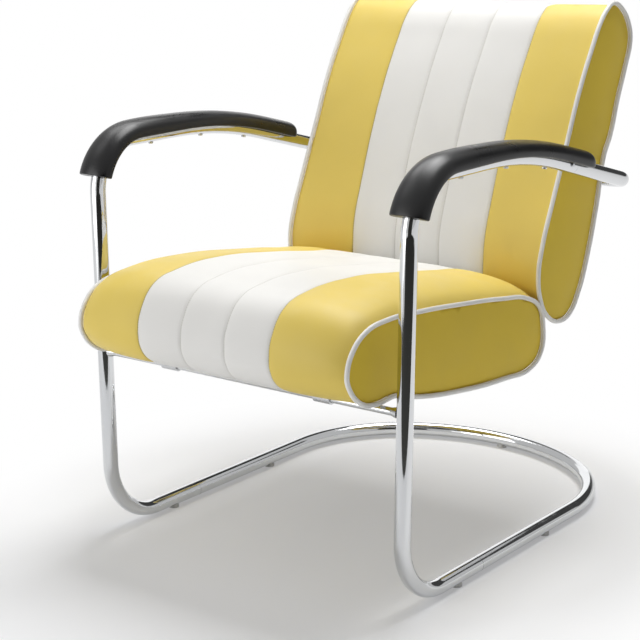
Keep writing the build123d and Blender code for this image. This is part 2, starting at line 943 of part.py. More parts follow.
bracket_routes = [
    FilletPolyline(
        *((side * bracket_x, y, z) for y, z in bracket_points),
        radius=bracket_bend_radius,
        mode=Mode.PRIVATE,
    )
    for side in (-1, 1)
]
with BuildPart() as seat_back_brackets:
    for route in bracket_routes:
        with BuildSketch(Plane(origin=route @ 0, x_dir=(1, 0, 0), z_dir=route % 0)):
            Rectangle(bracket_width, bracket_thickness)
        sweep(path=route)
    add(bracket_screws.part, mode=Mode.SUBTRACT)

save(seat_clips, "cross_bar_clips")
save(seat_spacers, "cross_bar_spacers")
save(seat_clip_screws, "cross_bar_clip_screws")
save(back_clips, "rear_bar_clips")
save(back_spacers, "rear_bar_spacers")
save(back_clip_screws, "rear_bar_clip_screws")
save(seat_back_brackets.part, "seat_back_brackets")
save(bracket_screws.part, "bracket_screws")


def cut_by(part, tools):
    """A piece with other pieces' shapes taken out of it."""
    with BuildPart() as piece:
        add(part)
        for tool in tools:
            add(tool, mode=Mode.SUBTRACT)
    return piece.part


def cushion(name, outlines, crown_shares, seam_x, edges, sheet_name, screws):
    """Write every piece of one cushion: board, filling, cover, side panels, piping and sheet."""
    edge_points, middle_points = outlines
    board_edges, opening_edges = edges
    window = opening_band(edge_points, opening_edges)
    pocket = board_pocket(edge_points, board_edges)
    filling = cushion_filling(edge_points, middle_points, crown_shares, seam_x)
    middle = cover_middle(middle_points, seam_x)
    save(cut_by(bent_board(edge_points, board_edges), screws), f"{name}_board")
    save(cut_by(filling, (pocket, *screws)), f"{name}_foam")
    save(cut_by(closing_sheet(edge_points, window), screws), sheet_name)
    save(cut_by(middle, (window, *screws)), f"{name}_cover_middle")
    for side, side_name in ((-1, "left"), (1, "right")):
        stripe = cover_stripe(edge_points, middle_points, crown_shares, seam_x, side)
        save(cut_by(stripe, (window, *screws)), f"{name}_cover_{side_name}")
        save(side_panel(edge_points, side), f"{name}_side_{side_name}")
        save(piping(edge_points, side), f"{name}_piping_{side_name}")


cushion(
    "seat",
    (seat_piping_points, seat_middle_points),
    seat_crown_shares,
    seat_seam_x,
    (seat_board_edges, seat_opening_edges),
    "seat_dust_cover",
    (seat_clip_screws, bracket_screws.part),
)
cushion(
    "back",
    (back_piping_points, back_middle_points),
    back_crown_shares,
    back_seam_x,
    (back_board_edges, back_opening_edges),
    "back_rear_panel",
    (back_clip_screws, bracket_screws.part),
)
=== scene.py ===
"""Looks of the lounge chair: chromed tube, moulded arm pads, striped and piped cushions.

Everything is in metres in the chair's own frame: +Z is up, the chair faces -Y, and the origin is
on the floor under its middle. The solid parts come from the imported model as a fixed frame.
"""

from __future__ import annotations

import json
import logging
import math
from abc import ABC, abstractmethod
from dataclasses import dataclass, field
from enum import Enum
from typing import Sequence, TypeAlias

import bmesh
import bpy
from mathutils import Matrix, Vector, noise
from mathutils.geometry import intersect_point_line


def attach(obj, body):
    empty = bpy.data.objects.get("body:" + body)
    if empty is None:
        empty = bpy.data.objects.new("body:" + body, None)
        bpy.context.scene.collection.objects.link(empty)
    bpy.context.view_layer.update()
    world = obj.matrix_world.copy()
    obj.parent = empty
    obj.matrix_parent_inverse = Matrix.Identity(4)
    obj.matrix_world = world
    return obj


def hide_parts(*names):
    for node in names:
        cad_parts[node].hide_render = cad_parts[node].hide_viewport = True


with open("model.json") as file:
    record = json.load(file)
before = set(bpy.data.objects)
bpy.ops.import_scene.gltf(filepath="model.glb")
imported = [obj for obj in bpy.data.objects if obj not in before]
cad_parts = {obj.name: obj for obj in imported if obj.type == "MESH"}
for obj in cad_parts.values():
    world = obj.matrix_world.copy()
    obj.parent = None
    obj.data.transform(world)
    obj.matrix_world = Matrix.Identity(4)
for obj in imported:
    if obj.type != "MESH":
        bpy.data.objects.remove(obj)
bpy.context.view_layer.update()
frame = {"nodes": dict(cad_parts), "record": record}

log = logging.getLogger("lounge_chair")

Point = tuple[float, float]
Place = tuple[float, float, float]
Colour = tuple[float, float, float]
Ease = tuple[float, float, float]
Source: TypeAlias = "bpy.types.NodeSocket | float | Colour"

FRONT = -0.42475
PIPING_RADIUS = 0.0037
PIPING_X = 0.254
COVER_INSET = 0.00286
SIDE_X = PIPING_X - COVER_INSET
SHEET_HALF_WIDTH = 0.226
PANEL_CUTS = (
    (Vector((0.0, 1.0, 0.0)), FRONT, -FRONT),
    (Vector((0.0, 0.0, 1.0)), 0.25, 0.85),
)
TOUCH = 1e-6
RISE = (0.0, 1.0)
FALL = (1.0, 0.0)
TONES = (0.3, 0.7)
ROUGH_TONES = (0.25, 0.75)


class Side(Enum):
    """The two sides of the chair, as seen from in front of it."""

    LEFT = -1
    RIGHT = 1

    @property
    def word(self) -> str:
        """The side's word in piece names."""
        return self.name.lower()


class Slot(Enum):
    """The record's material slots."""

    CHROME = "chrome_tube"
    ZINC = "zinc_fixings"
    BRACKET = "black_steel"
    PAD = "black_pad"
    GLIDE = "grey_glide"
    RUBBER = "black_rubber"
    PLYWOOD = "plywood"
    FILLING = "filling"
    YELLOW = "yellow_vinyl"
    WHITE = "white_vinyl"
    REAR = "rear_vinyl"
    PIPING = "piping_vinyl"
    CLOTH = "black_cloth"


def smooth_step(value: float, low: float, high: float) -> float:
    """Ease a value from 0 at low to 1 at high.

    Args:
        value: The value to ease.
        low: Where the result is 0.
        high: Where the result is 1.

    Returns:
        The eased share, from 0 to 1.
    """
    share = min(1.0, max(0.0, (value - low) / (high - low)))
    return share * share * (3 - 2 * share)


def darker(colour: Colour, share: float) -> Colour:
    """The colour at a share of its brightness."""
    return tuple(share * part for part in colour)


def add_object(name: str, data: bpy.types.ID) -> bpy.types.Object:
    """Put a new object into the scene.

    Args:
        name: The object's name.
        data: Its mesh, lamp, curve or camera.

    Returns:
        The object.
    """
    made = bpy.data.objects.new(name, data)
    bpy.context.scene.collection.objects.link(made)
    return made


def finished_mesh(bm: bmesh.types.BMesh, name: str) -> bpy.types.Mesh:
    """Write a bmesh into a new mesh and free it.

    Args:
        bm: The bmesh.
        name: The mesh's name.

    Returns:
        The mesh.
    """
    made = bpy.data.meshes.new(name)
    bm.to_mesh(made)
    bm.free()
    return made


class Graph:
    """Adds nodes and links to one node tree."""

    def __init__(self, tree: bpy.types.NodeTree) -> None:
        """Keep the tree to add to."""
        self.tree = tree

    def node(self, kind: str, **values: object) -> bpy.types.Node:
        """Add a node and set its properties.

        Args:
            kind: The node's Blender type.
            **values: Properties to set on it.

        Returns:
            The new node.
        """
        made = self.tree.nodes.new(kind)
        for key, value in values.items():
            setattr(made, key, value)
        return made

    def link(self, start: bpy.types.NodeSocket, end: bpy.types.NodeSocket) -> None:
        """Join two sockets."""
        self.tree.links.new(start, end)

    def feed(self, socket: bpy.types.NodeSocket, item: Source) -> None:
        """Link an input, or set its value.

        Args:
            socket: The input.
            item: A socket, a number or a colour.
        """
        if isinstance(item, bpy.types.NodeSocket):
            self.link(item, socket)
        else:
            socket.default_value = (*item, 1.0) if isinstance(item, tuple) else item

    def math(self, operation: str, *inputs: Source) -> bpy.types.NodeSocket:
        """Add a Math node.

        Args:
            operation: The Math node's operation.
            *inputs: Sockets or numbers for its inputs.

        Returns:
            Its value socket.
        """
        made = self.node("ShaderNodeMath", operation=operation)
        for index, item in enumerate(inputs):
            self.feed(made.inputs[index], item)
        return made.outputs[0]

    def remap(
        self, value: bpy.types.NodeSocket, source: Point, target: Point = RISE
    ) -> bpy.types.NodeSocket:
        """Map a value smoothly from one range to another.

        Args:
            value: The socket to read.
            source: The range that it is read over.
            target: The range that comes out.

        Returns:
            The mapped value.
        """
        made = self.node("ShaderNodeMapRange", interpolation_type="SMOOTHSTEP")
        self.link(value, made.inputs["Value"])
        for words, span in (("From", source), ("To", target)):
            made.inputs[f"{words} Min"].default_value = span[0]
            made.inputs[f"{words} Max"].default_value = span[1]
        return made.outputs["Result"]

    def mix_colour(
        self, share: bpy.types.NodeSocket, first: Source, second: Source
    ) -> bpy.types.NodeSocket:
        """Mix two colours by a share.

        Args:
            share: The mask socket.
            first: Colour or socket at 0.
            second: Colour or socket at 1.

        Returns:
            The mixed colour.
        """
        made = self.node("ShaderNodeMix", data_type="RGBA")
        share_input, first_input, second_input, colour_output = 0, 6, 7, 2
        self.link(share, made.inputs[share_input])
        self.feed(made.inputs[first_input], first)
        self.feed(made.inputs[second_input], second)
        return made.outputs[colour_output]

    def noise(
        self, place: bpy.types.NodeSocket, scale: Source, detail: float = 3.0
    ) -> bpy.types.NodeSocket:
        """Add a noise texture.

        Args:
            place: The coordinates that it reads.
            scale: Its scale, per metre.
            detail: Its detail.

        Returns:
            Its value, from 0 to 1.
        """
        made = self.node("ShaderNodeTexNoise")
        self.link(place, made.inputs["Vector"])
        self.feed(made.inputs["Scale"], scale)
        made.inputs["Detail"].default_value = detail
        return made.outputs["Fac"]

    def coordinates(self) -> bpy.types.NodeSocket:
        """The piece's own coordinates."""
        return self.node("ShaderNodeTexCoord").outputs["Object"]

    def split(self, vector: bpy.types.NodeSocket) -> bpy.types.NodeOutputs:
        """Split a vector into X, Y and Z.

        Args:
            vector: The vector.

        Returns:
            The three sockets, by name.
        """
        made = self.node("ShaderNodeSeparateXYZ")
        self.link(vector, made.inputs[0])
        return made.outputs

    def show(self, shader: bpy.types.NodeSocket, kind: str = "Material") -> None:
        """Send a shader to the output.

        Args:
            shader: The shader's socket.
            kind: Material or World.
        """
        out = self.node(f"ShaderNodeOutput{kind}")
        self.link(shader, out.inputs["Surface"])


def blank_material(name: str) -> tuple[bpy.types.Material, Graph]:
    """Make a material without nodes.

    Args:
        name: The material's name.

    Returns:
        The material and its graph.
    """
    material = bpy.data.materials.new(name)
    material.use_nodes = True
    material.node_tree.nodes.clear()
    return material, Graph(material.node_tree)


class EffectGroup:
    """A shader effect that several finishes share, built once as a node group."""

    def __init__(self, name: str, inputs: dict[str, float], outputs: Sequence[str]) -> None:
        """Make the group's sockets.

        Args:
            name: The group's name.
            inputs: Its value inputs with their defaults.
            outputs: Its value outputs.
        """
        self.tree = bpy.data.node_groups.new(name, "ShaderNodeTree")
        kind = "NodeSocketFloat"
        for key, default in inputs.items():
            socket = self.tree.interface.new_socket(key, in_out="INPUT", socket_type=kind)
            socket.default_value = default
        for key in outputs:
            self.tree.interface.new_socket(key, in_out="OUTPUT", socket_type=kind)
        self.graph = Graph(self.tree)
        self.entry = self.graph.node("NodeGroupInput")
        self.exit = self.graph.node("NodeGroupOutput")

    def given(self, name: str) -> bpy.types.NodeSocket:
        """One of the group's inputs, seen from inside."""
        return self.entry.outputs[name]

    def put_out(self, **sockets: bpy.types.NodeSocket) -> None:
        """Link the group's outputs by their names."""
        for key, socket in sockets.items():
            self.graph.link(socket, self.exit.inputs[key])

    def place(self, graph: Graph, **values: float) -> bpy.types.NodeOutputs:
        """Put the group into a material.

        Args:
            graph: The material's graph.
            **values: Values of its inputs, with _ for a space.

        Returns:
            The group's outputs, by name.
        """
        made = graph.node("ShaderNodeGroup", node_tree=self.tree)
        for key, value in values.items():
            made.inputs[key.replace("_", " ")].default_value = value
        return made.outputs


def pebble_grain() -> EffectGroup:
    """Build the pebbled grain of leathercloth and moulded plastic.

    Returns:
        A group with Height, from 0 to 1, and Tone, a soft patchy value.
    """
    softness, fine_share, fine_detail, patch_detail = 0.7, 0.45, 4.0, 2.0
    effect = EffectGroup(
        "pebble_grain", {"Grain Scale": 900.0, "Patch Scale": 9.0}, ("Height", "Tone")
    )
    graph = effect.graph
    place = graph.coordinates()
    scale = effect.given("Grain Scale")
    cells = graph.node("ShaderNodeTexVoronoi", feature="SMOOTH_F1")
    cells.inputs["Smoothness"].default_value = softness
    graph.link(place, cells.inputs["Vector"])
    graph.link(scale, cells.inputs["Scale"])
    bumps = graph.math("SUBTRACT", 1.0, cells.outputs["Distance"])
    fine = graph.noise(place, scale, fine_detail)
    effect.put_out(
        Height=graph.math("MULTIPLY_ADD", fine, fine_share, bumps),
        Tone=graph.noise(place, effect.given("Patch Scale"), patch_detail),
    )
    return effect


def seam_marks() -> EffectGroup:
    """Build the marks beside a sewn line, from the piece's own seam_gap and along values.

    Returns:
        A group with Shade, painted shade that darkens the crease near the seam, Thread on its
        stitches and Pucker across it.
    """
    shade_reach, thread_reach, fold_reach = (0.2, 2.4), (0.5, 1.1), (1.0, 9.0)
    stitch_share = 0.68
    effect = EffectGroup(
        "seam_marks", {"Stitch Length": 0.0042, "Line Width": 0.0006},
        ("Shade", "Thread", "Pucker"),
    )
    graph = effect.graph
    gap, along = (
        graph.node("ShaderNodeAttribute", attribute_name=name).outputs["Fac"]
        for name in ("seam_gap", "along")
    )
    near = graph.math("DIVIDE", gap, effect.given("Line Width"))
    step = graph.math("DIVIDE", along, effect.given("Stitch Length"))
    dash = graph.math("LESS_THAN", graph.math("FRACT", step), stitch_share)
    fold = graph.math("SINE", graph.math("MULTIPLY", step, math.tau))
    effect.put_out(
        # Shade is painted shade: strongest on the sewn line, fading away from it.
        Shade=graph.remap(near, shade_reach, FALL),
        Thread=graph.math("MULTIPLY", dash, graph.remap(near, thread_reach, FALL)),
        Pucker=graph.math("MULTIPLY", fold, graph.remap(near, fold_reach, FALL)),
    )
    return effect


def edge_wear() -> EffectGroup:
    """Build a mask of rubbed edges.

    Returns:
        A group with Mask, 1 where a convex edge is worn.
    """
    sharp, patchy, patch_scale = (0.52, 0.60), (0.4, 0.62), 180.0
    effect = EffectGroup("edge_wear", {"Amount": 0.4}, ("Mask",))
    graph = effect.graph
    edge = graph.remap(graph.node("ShaderNodeNewGeometry").outputs["Pointiness"], sharp)
    broken = graph.remap(graph.noise(graph.coordinates(), patch_scale), patchy)
    rubbed = graph.math("MULTIPLY", edge, broken)
    effect.put_out(Mask=graph.math("MULTIPLY", rubbed, effect.given("Amount")))
    return effect


def settled_dust() -> EffectGroup:
    """Build a mask of faint dust on faces that look up.

    Returns:
        A group with Mask, up to the amount on level faces.
    """
    facing_up, patchy, patch_scale, patch_detail = (0.2, 1.0), (0.35, 0.75), 35.0, 5.0
    effect = EffectGroup("settled_dust", {"Amount": 0.1}, ("Mask",))
    graph = effect.graph
    normal = graph.split(graph.node("ShaderNodeNewGeometry").outputs["Normal"])
    level = graph.remap(normal["Z"], facing_up)
    broken = graph.remap(graph.noise(graph.coordinates(), patch_scale, patch_detail), patchy)
    spread = graph.math("MULTIPLY", level, broken)
    effect.put_out(Mask=graph.math("MULTIPLY", spread, effect.given("Amount")))
    return effect


@dataclass
class Effects:
    """The shared shader effects."""

    grain: EffectGroup = field(default_factory=pebble_grain)
    seams: EffectGroup = field(default_factory=seam_marks)
    wear: EffectGroup = field(default_factory=edge_wear)
    dust: EffectGroup = field(default_factory=settled_dust)


@dataclass
class Surface:
    """A material while it is made: its graph, its shader and the shared effects."""

    graph: Graph
    shader: bpy.types.Node
    effects: Effects

    def set(self, **values: float) -> None:
        """Set plain values of the shader, with _ for a space in their names."""
        for key, value in values.items():
            self.shader.inputs[key.replace("_", " ")].default_value = value

    def colour(self, value: bpy.types.NodeSocket) -> None:
        """Give the shader its colour."""
        self.graph.link(value, self.shader.inputs["Base Color"])

    def rough(self, value: bpy.types.NodeSocket) -> None:
        """Give the shader its roughness."""
        self.graph.link(value, self.shader.inputs["Roughness"])

    def mask(self, effect: EffectGroup, amount: float) -> bpy.types.NodeSocket:
        """Place a wear or dust effect and take its mask."""
        return effect.place(self.graph, Amount=amount)["Mask"]

    def bump(
        self,
        height: bpy.types.NodeSocket,
        depth: float,
        strength: float,
        before: bpy.types.NodeSocket | None = None,
    ) -> bpy.types.NodeSocket:
        """Add relief to the shader's normal.

        Args:
            height: The height to follow.
            depth: How deep a height of 1 is, in metres.
            strength: How strongly it shows.
            before: A normal that the relief is added to.

        Returns:
            The new normal.
        """
        made = self.graph.node("ShaderNodeBump")
        made.inputs["Strength"].default_value = strength
        made.inputs["Distance"].default_value = depth
        self.graph.link(height, made.inputs["Height"])
        if before is not None:
            self.graph.link(before, made.inputs["Normal"])
        self.graph.link(made.outputs["Normal"], self.shader.inputs["Normal"])
        return made.outputs["Normal"]


@dataclass(frozen=True)
class Finish(ABC):
    """What every finish has: a name, a colour and a way to paint its material."""

    name: str
    colour: Colour
    roughness: float
    relief: float = 0.5
    smoother: float = 0.05
    rougher: float = 0.06

    def build(self, effects: Effects) -> bpy.types.Material:
        """Build the material.

        Args:
            effects: The shared effects.

        Returns:
            The material.
        """
        material, graph = blank_material(self.name)
        material.diffuse_color = (*self.colour, 1.0)
        shader = graph.node("ShaderNodeBsdfPrincipled")
        shader.inputs["Base Color"].default_value = (*self.colour, 1.0)
        shader.inputs["Roughness"].default_value = self.roughness
        graph.show(shader.outputs["BSDF"])
        self.paint(Surface(graph, shader, effects))
        return material

    def spread(self) -> Point:
        """The range of roughness around the finish's own."""
        return self.roughness - self.smoother, self.roughness + self.rougher

    @abstractmethod
    def paint(self, surface: Surface) -> None:
        """Add the nodes of this finish to a new material."""


@dataclass(frozen=True)
class VinylFinish(Finish):
    """Leathercloth with a fine grain, soft sheen, and stitches, puckers and painted shade beside
    its seams.
    """

    seam_colour: Colour = (0.2, 0.15, 0.05)
    thread_colour: Colour = (0.7, 0.68, 0.6)
    sewn: bool = True
    seam_shade: float = 0.9
    shine: float = 0.3
    grain_scale: float = 1150.0
    grain_depth: float = 0.00006
    patch_scale: float = 7.0
    patch_shade: float = 0.955
    stitch_height: float = 2.0
    stitch_depth: float = 0.00012
    dust: float = 0.05
    dust_colour: Colour = (0.78, 0.76, 0.72)
    sheen: float = 0.02
    sheen_roughness: float = 0.4
    stitch_relief: float = 0.6
    smoother: float = 0.04
    rougher: float = 0.05

    def paint(self, surface: Surface) -> None:
        """Paint the grain, the patches, the dust, and the seams with painted shade in their
        creases.

        Args:
            surface: The new material.
        """
        graph, effects = surface.graph, surface.effects
        grain = effects.grain.place(
            graph, Grain_Scale=self.grain_scale, Patch_Scale=self.patch_scale
        )
        tone = graph.remap(grain["Tone"], TONES)
        colour = graph.mix_colour(tone, darker(self.colour, self.patch_shade), self.colour)
        colour = graph.mix_colour(
            surface.mask(effects.dust, self.dust), colour, self.dust_colour
        )
        normal = surface.bump(grain["Height"], self.grain_depth, self.relief)
        if self.sewn:
            marks = effects.seams.place(graph)
            # Painted shade: near each sewn line the colour darkens towards the seam's dark
            # colour, as the crease is shaded.
            shade = graph.math("MULTIPLY", marks["Shade"], self.seam_shade)
            colour = graph.mix_colour(shade, colour, self.seam_colour)
            colour = graph.mix_colour(marks["Thread"], colour, self.thread_colour)
            raised = graph.math(
                "MULTIPLY_ADD", marks["Thread"], self.stitch_height, marks["Pucker"]
            )
            surface.bump(raised, self.stitch_depth, self.stitch_relief, normal)
        surface.colour(colour)
        surface.rough(graph.remap(grain["Tone"], ROUGH_TONES, self.spread()))
        surface.set(
            Specular_IOR_Level=self.shine, Sheen_Weight=self.sheen,
            Sheen_Roughness=self.sheen_roughness,
        )


@dataclass(frozen=True)
class ChromeFinish(Finish):
    """Chrome plate with faint wipe marks and dust."""

    wipe_scale: float = 26.0
    wipe_detail: float = 6.0
    wipe_reach: Point = (0.35, 0.8)
    dust: float = 0.12
    ripple_scale: float = 60.0
    ripple_detail: float = 1.0
    ripple_depth: float = 0.00002
    relief: float = 0.3
    smoother: float = 0.0
    rougher: float = 0.05

    def paint(self, surface: Surface) -> None:
        """Paint the wipe marks and the ripple of polished plate.

        Args:
            surface: The new material.
        """
        graph = surface.graph
        surface.set(Metallic=1.0)
        place = graph.coordinates()
        wipes = graph.noise(place, self.wipe_scale, self.wipe_detail)
        rough = graph.remap(wipes, self.wipe_reach, self.spread())
        dust = surface.mask(surface.effects.dust, self.dust)
        surface.rough(graph.math("ADD", rough, dust))
        ripple = graph.noise(place, self.ripple_scale, self.ripple_detail)
        surface.bump(ripple, self.ripple_depth, self.relief)


@dataclass(frozen=True)
class MetalFinish(Finish):
    """Plated or painted steel with rubbed edges."""

    metallic: float = 1.0
    worn_colour: Colour = (0.6, 0.6, 0.6)
    wear: float = 0.5
    speckle_scale: float = 700.0
    speckle_detail: float = 4.0
    speckle_depth: float = 0.00004
    relief: float = 0.4
    smoother: float = 0.07
    rougher: float = 0.09

    def paint(self, surface: Surface) -> None:
        """Paint the speckle and the worn edges.

        Args:
            surface: The new material.
        """
        graph = surface.graph
        surface.set(Metallic=self.metallic)
        wear = surface.mask(surface.effects.wear, self.wear)
        surface.colour(graph.mix_colour(wear, self.colour, self.worn_colour))
        speckle = graph.noise(graph.coordinates(), self.speckle_scale, self.speckle_detail)
        surface.rough(graph.remap(speckle, TONES, self.spread()))
        surface.bump(speckle, self.speckle_depth, self.relief)


@dataclass(frozen=True)
class MouldedFinish(Finish):
    """Moulded black plastic or rubber with a satin skin."""

    grain_depth: float = 0.00003
    grain_scale: float = 1500.0
    patch_scale: float = 14.0
    refraction: float = 1.44
    dust: float = 0.02
    dust_colour: Colour = (0.25, 0.25, 0.26)
    wear: float = 0.25
    worn_colour: Colour = (0.09, 0.09, 0.095)

    def paint(self, surface: Surface) -> None:
        """Paint the skin's grain, the dust and the rubbed edges.

        Args:
            surface: The new material.
        """
        graph, effects = surface.graph, surface.effects
        surface.set(IOR=self.refraction)
        grain = effects.grain.place(
            graph, Grain_Scale=self.grain_scale, Patch_Scale=self.patch_scale
        )
        dust = surface.mask(effects.dust, self.dust)
        wear = surface.mask(effects.wear, self.wear)
        colour = graph.mix_colour(dust, self.colour, self.dust_colour)
        surface.colour(graph.mix_colour(wear, colour, self.worn_colour))
        surface.rough(graph.remap(grain["Tone"], TONES, self.spread()))
        surface.bump(grain["Height"], self.grain_depth, self.relief)


@dataclass(frozen=True)
class PlywoodFinish(Finish):
    """Plain plywood with a drawn-out grain."""

    stretch: Place = (1.0, 14.0, 14.0)
    ring_scale: float = 16.0
    ring_detail: float = 5.0
    ring_shade: float = 0.62
    ring_depth: float = 0.0002
    relief: float = 0.4
    wear: float = 0.3

    def paint(self, surface: Surface) -> None:
        """Paint the year rings and the rubbed edges.

        Args:
            surface: The new material.
        """
        graph = surface.graph
        stretch = graph.node("ShaderNodeMapping")
        stretch.inputs["Scale"].default_value = self.stretch
        graph.link(graph.coordinates(), stretch.inputs["Vector"])
        rings = graph.noise(stretch.outputs["Vector"], self.ring_scale, self.ring_detail)
        surface.colour(
            graph.mix_colour(rings, darker(self.colour, self.ring_shade), self.colour)
        )
        surface.bump(rings, self.ring_depth, self.relief)
        wear = surface.mask(surface.effects.wear, self.wear)
        surface.rough(graph.math("ADD", wear, self.roughness))


@dataclass(frozen=True)
class ClothFinish(Finish):
    """Woven cloth or open foam."""

    thread_pitch: float = 0.0011
    thread_depth: float = 0.0002
    thread_shade: float = 0.6
    dust: float = 0.08
    dust_colour: Colour = (0.5, 0.5, 0.48)
    sheen: float = 0.2

    def paint(self, surface: Surface) -> None:
        """Paint the weave and the dust.

        Args:
            surface: The new material.
        """
        graph = surface.graph
        place = graph.split(graph.coordinates())
        turns = math.tau / self.thread_pitch
        waves = [
            graph.math("SINE", graph.math("MULTIPLY", place[axis], turns))
            for axis in ("X", "Y")
        ]
        lifted = graph.remap(graph.math("MULTIPLY", *waves), (-1.0, 1.0))
        colour = graph.mix_colour(
            lifted, darker(self.colour, self.thread_shade), self.colour
        )
        dust = surface.mask(surface.effects.dust, self.dust)
        surface.colour(graph.mix_colour(dust, colour, self.dust_colour))
        surface.bump(lifted, self.thread_depth, self.relief)
        surface.set(Sheen_Weight=self.sheen)


def slot_finishes() -> dict[Slot, Finish]:
    """Choose the finish of each material slot.

    Returns:
        The finishes by slot.
    """
    return {
        Slot.CHROME: ChromeFinish("chrome_plate", (0.68, 0.69, 0.70), 0.035),
        Slot.ZINC: MetalFinish("zinc_plate", (0.62, 0.63, 0.65), 0.3),
        Slot.BRACKET: MetalFinish(
            "black_paint", (0.02, 0.02, 0.022), 0.38, metallic=0.0, worn_colour=(0.2, 0.2, 0.2)
        ),
        Slot.PAD: MouldedFinish(
            "satin_black_pad", (0.005, 0.005, 0.0055), 0.31, grain_depth=0.000014
        ),
        Slot.GLIDE: MouldedFinish("glide_plastic", (0.62, 0.62, 0.60), 0.4),
        Slot.RUBBER: MouldedFinish("spacer_rubber", (0.025, 0.025, 0.025), 0.65),
        Slot.PLYWOOD: PlywoodFinish("bent_plywood", (0.52, 0.36, 0.20), 0.55),
        Slot.FILLING: ClothFinish("cream_foam", (0.82, 0.76, 0.58), 0.9, thread_pitch=0.003),
        # The seam colours below are painted shade for the sewn creases of the yellow and the
        # white.
        Slot.YELLOW: VinylFinish(
            "yellow_leathercloth", (0.80, 0.61, 0.135), 0.47, seam_colour=(0.12, 0.09, 0.03),
            thread_colour=(0.66, 0.56, 0.24),
        ),
        Slot.WHITE: VinylFinish(
            "white_leathercloth", (0.835, 0.825, 0.795), 0.47, seam_colour=(0.40, 0.38, 0.33),
            thread_colour=(0.80, 0.79, 0.75), seam_shade=0.6,
        ),
        # A more saturated copy of the yellow with less shine: its colour is painted shade
        # matching how the side panels are lit; the backrest's rear panel takes it too.
        Slot.REAR: VinylFinish(
            "rear_leathercloth", (0.82, 0.60, 0.057), 0.47, sewn=False, shine=0.16
        ),
        Slot.PIPING: VinylFinish("piping_leathercloth", (0.88, 0.87, 0.84), 0.4, sewn=False),
        Slot.CLOTH: ClothFinish("dust_cover_cloth", (0.03, 0.03, 0.03), 0.85),
    }


class Workshop:
    """Holds the materials and turns meshes into pieces of the chair."""

    def __init__(self) -> None:
        """Build every material."""
        effects = Effects()
        self.materials = {
            slot: finish.build(effects) for slot, finish in slot_finishes().items()
        }

    def piece(
        self,
        name: str,
        mesh: bpy.types.Mesh,
        slot: Slot,
        replaces: Sequence[str],
        look: Slot | None = None,
    ) -> bpy.types.Object:
        """Make a finished piece that rides on the frame.

        Args:
            name: The piece's name.
            mesh: Its mesh, in place.
            slot: Its material slot.
            replaces: The solid nodes that it stands for.
            look: Another slot whose finish it takes.

        Returns:
            The piece.
        """
        made = add_object(name, mesh)
        mesh.materials.clear()
        mesh.materials.append(self.materials[look or slot])
        mesh.shade_smooth()
        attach(made, "root")
        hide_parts(*replaces)
        log.info("piece %s: %d faces", name, len(mesh.polygons))
        return made

    def dress_node(self, name: str, slot: Slot) -> None:
        """Give a solid node of the frame its material.

        Args:
            name: The node's name.
            slot: Its material slot.
        """
        mesh = frame["nodes"][name].data
        mesh.materials.clear()
        mesh.materials.append(self.materials[slot])


def smoothed(piece: bpy.types.Object, wall: float = 0.0) -> bpy.types.Object:
    """Add a Subdivision Surface modifier, and a wall that thickens inwards.

    Args:
        piece: The piece to finish.
        wall: The wall's thickness, or 0 for none.

    Returns:
        The same piece.
    """
    smooth = piece.modifiers.new("smooth", "SUBSURF")
    smooth.levels = smooth.render_levels = 1
    if wall:
        solid = piece.modifiers.new("wall", "SOLIDIFY")
        solid.thickness = wall
        solid.offset = -1.0
        solid.use_even_offset = False
    return piece


def extrude_ring(
    bm: bmesh.types.BMesh, edges: Sequence[bmesh.types.BMEdge]
) -> tuple[list[bmesh.types.BMVert], list[bmesh.types.BMEdge]]:
    """Extrude a ring or a strip of edges in place.

    Args:
        bm: The bmesh that holds it.
        edges: Its edges.

    Returns:
        The new ring's vertices and edges.
    """
    result = bmesh.ops.extrude_edge_only(bm, edges=edges)["geom"]
    verts = [item for item in result if isinstance(item, bmesh.types.BMVert)]
    fresh = set(verts)
    ring = [
        item
        for item in result
        if isinstance(item, bmesh.types.BMEdge) and all(v in fresh for v in item.verts)
    ]
    return verts, ring


class RingLoft:
    """Lofts a surface by extruding a ring or a strip of vertices from station to station."""

    def __init__(self, points: Sequence[Vector], closed: bool) -> None:
        """Start from the first station.

        Args:
            points: Places of the first station's vertices.
            closed: Whether the station is a closed ring.
        """
        self.bm = bmesh.new()
        self.index = self.bm.verts.layers.int.new("station_index")
        self.along = self.bm.verts.layers.float.new("along")
        self.gap = self.bm.verts.layers.float.new("seam_gap")
        self.last = [self.bm.verts.new(point) for point in points]
        for number, vertex in enumerate(self.last):
            vertex[self.index] = number
        pairs = list(zip(self.last, self.last[1:]))
        if closed:
            pairs.append((self.last[-1], self.last[0]))
        self.edges = [self.bm.edges.new(pair) for pair in pairs]
        self.first_edges = list(self.edges)

    def mark(self, along: Sequence[float], gap: float) -> None:
        """Store the seam values on the last station.

        Args:
            along: Distance along the seam for each vertex.
            gap: Distance of the whole station from the nearest seam.
        """
        for vertex in self.last:
            vertex[self.along] = along[vertex[self.index]]
            vertex[self.gap] = gap

    def extend(self, points: Sequence[Vector]) -> None:
        """Extrude to the next station.

        Args:
            points: Places of its vertices.
        """
        self.last, self.edges = extrude_ring(self.bm, self.edges)
        for vertex in self.last:
            vertex.co = points[vertex[self.index]]

    def cap(self) -> None:
        """Close both ends."""
        for edges in (self.first_edges, self.edges):
            bmesh.ops.contextual_create(self.bm, geom=edges)

    def mesh(self, name: str) -> bpy.types.Mesh:
        """Finish the mesh with its normals outwards.

        Args:
            name: The mesh's name.

        Returns:
            The mesh.
        """
        bmesh.ops.recalc_face_normals(self.bm, faces=self.bm.faces)
        return finished_mesh(self.bm, name)


def lofted(rows: Sequence[Sequence[Vector]], closed: bool) -> RingLoft:
    """Loft a surface through rows of places.

    Args:
        rows: The stations.
        closed: Whether each is a closed ring.

    Returns:
        The loft.
    """
    loft = RingLoft(rows[0], closed)
    for row in rows[1:]:
        loft.extend(row)
    return loft


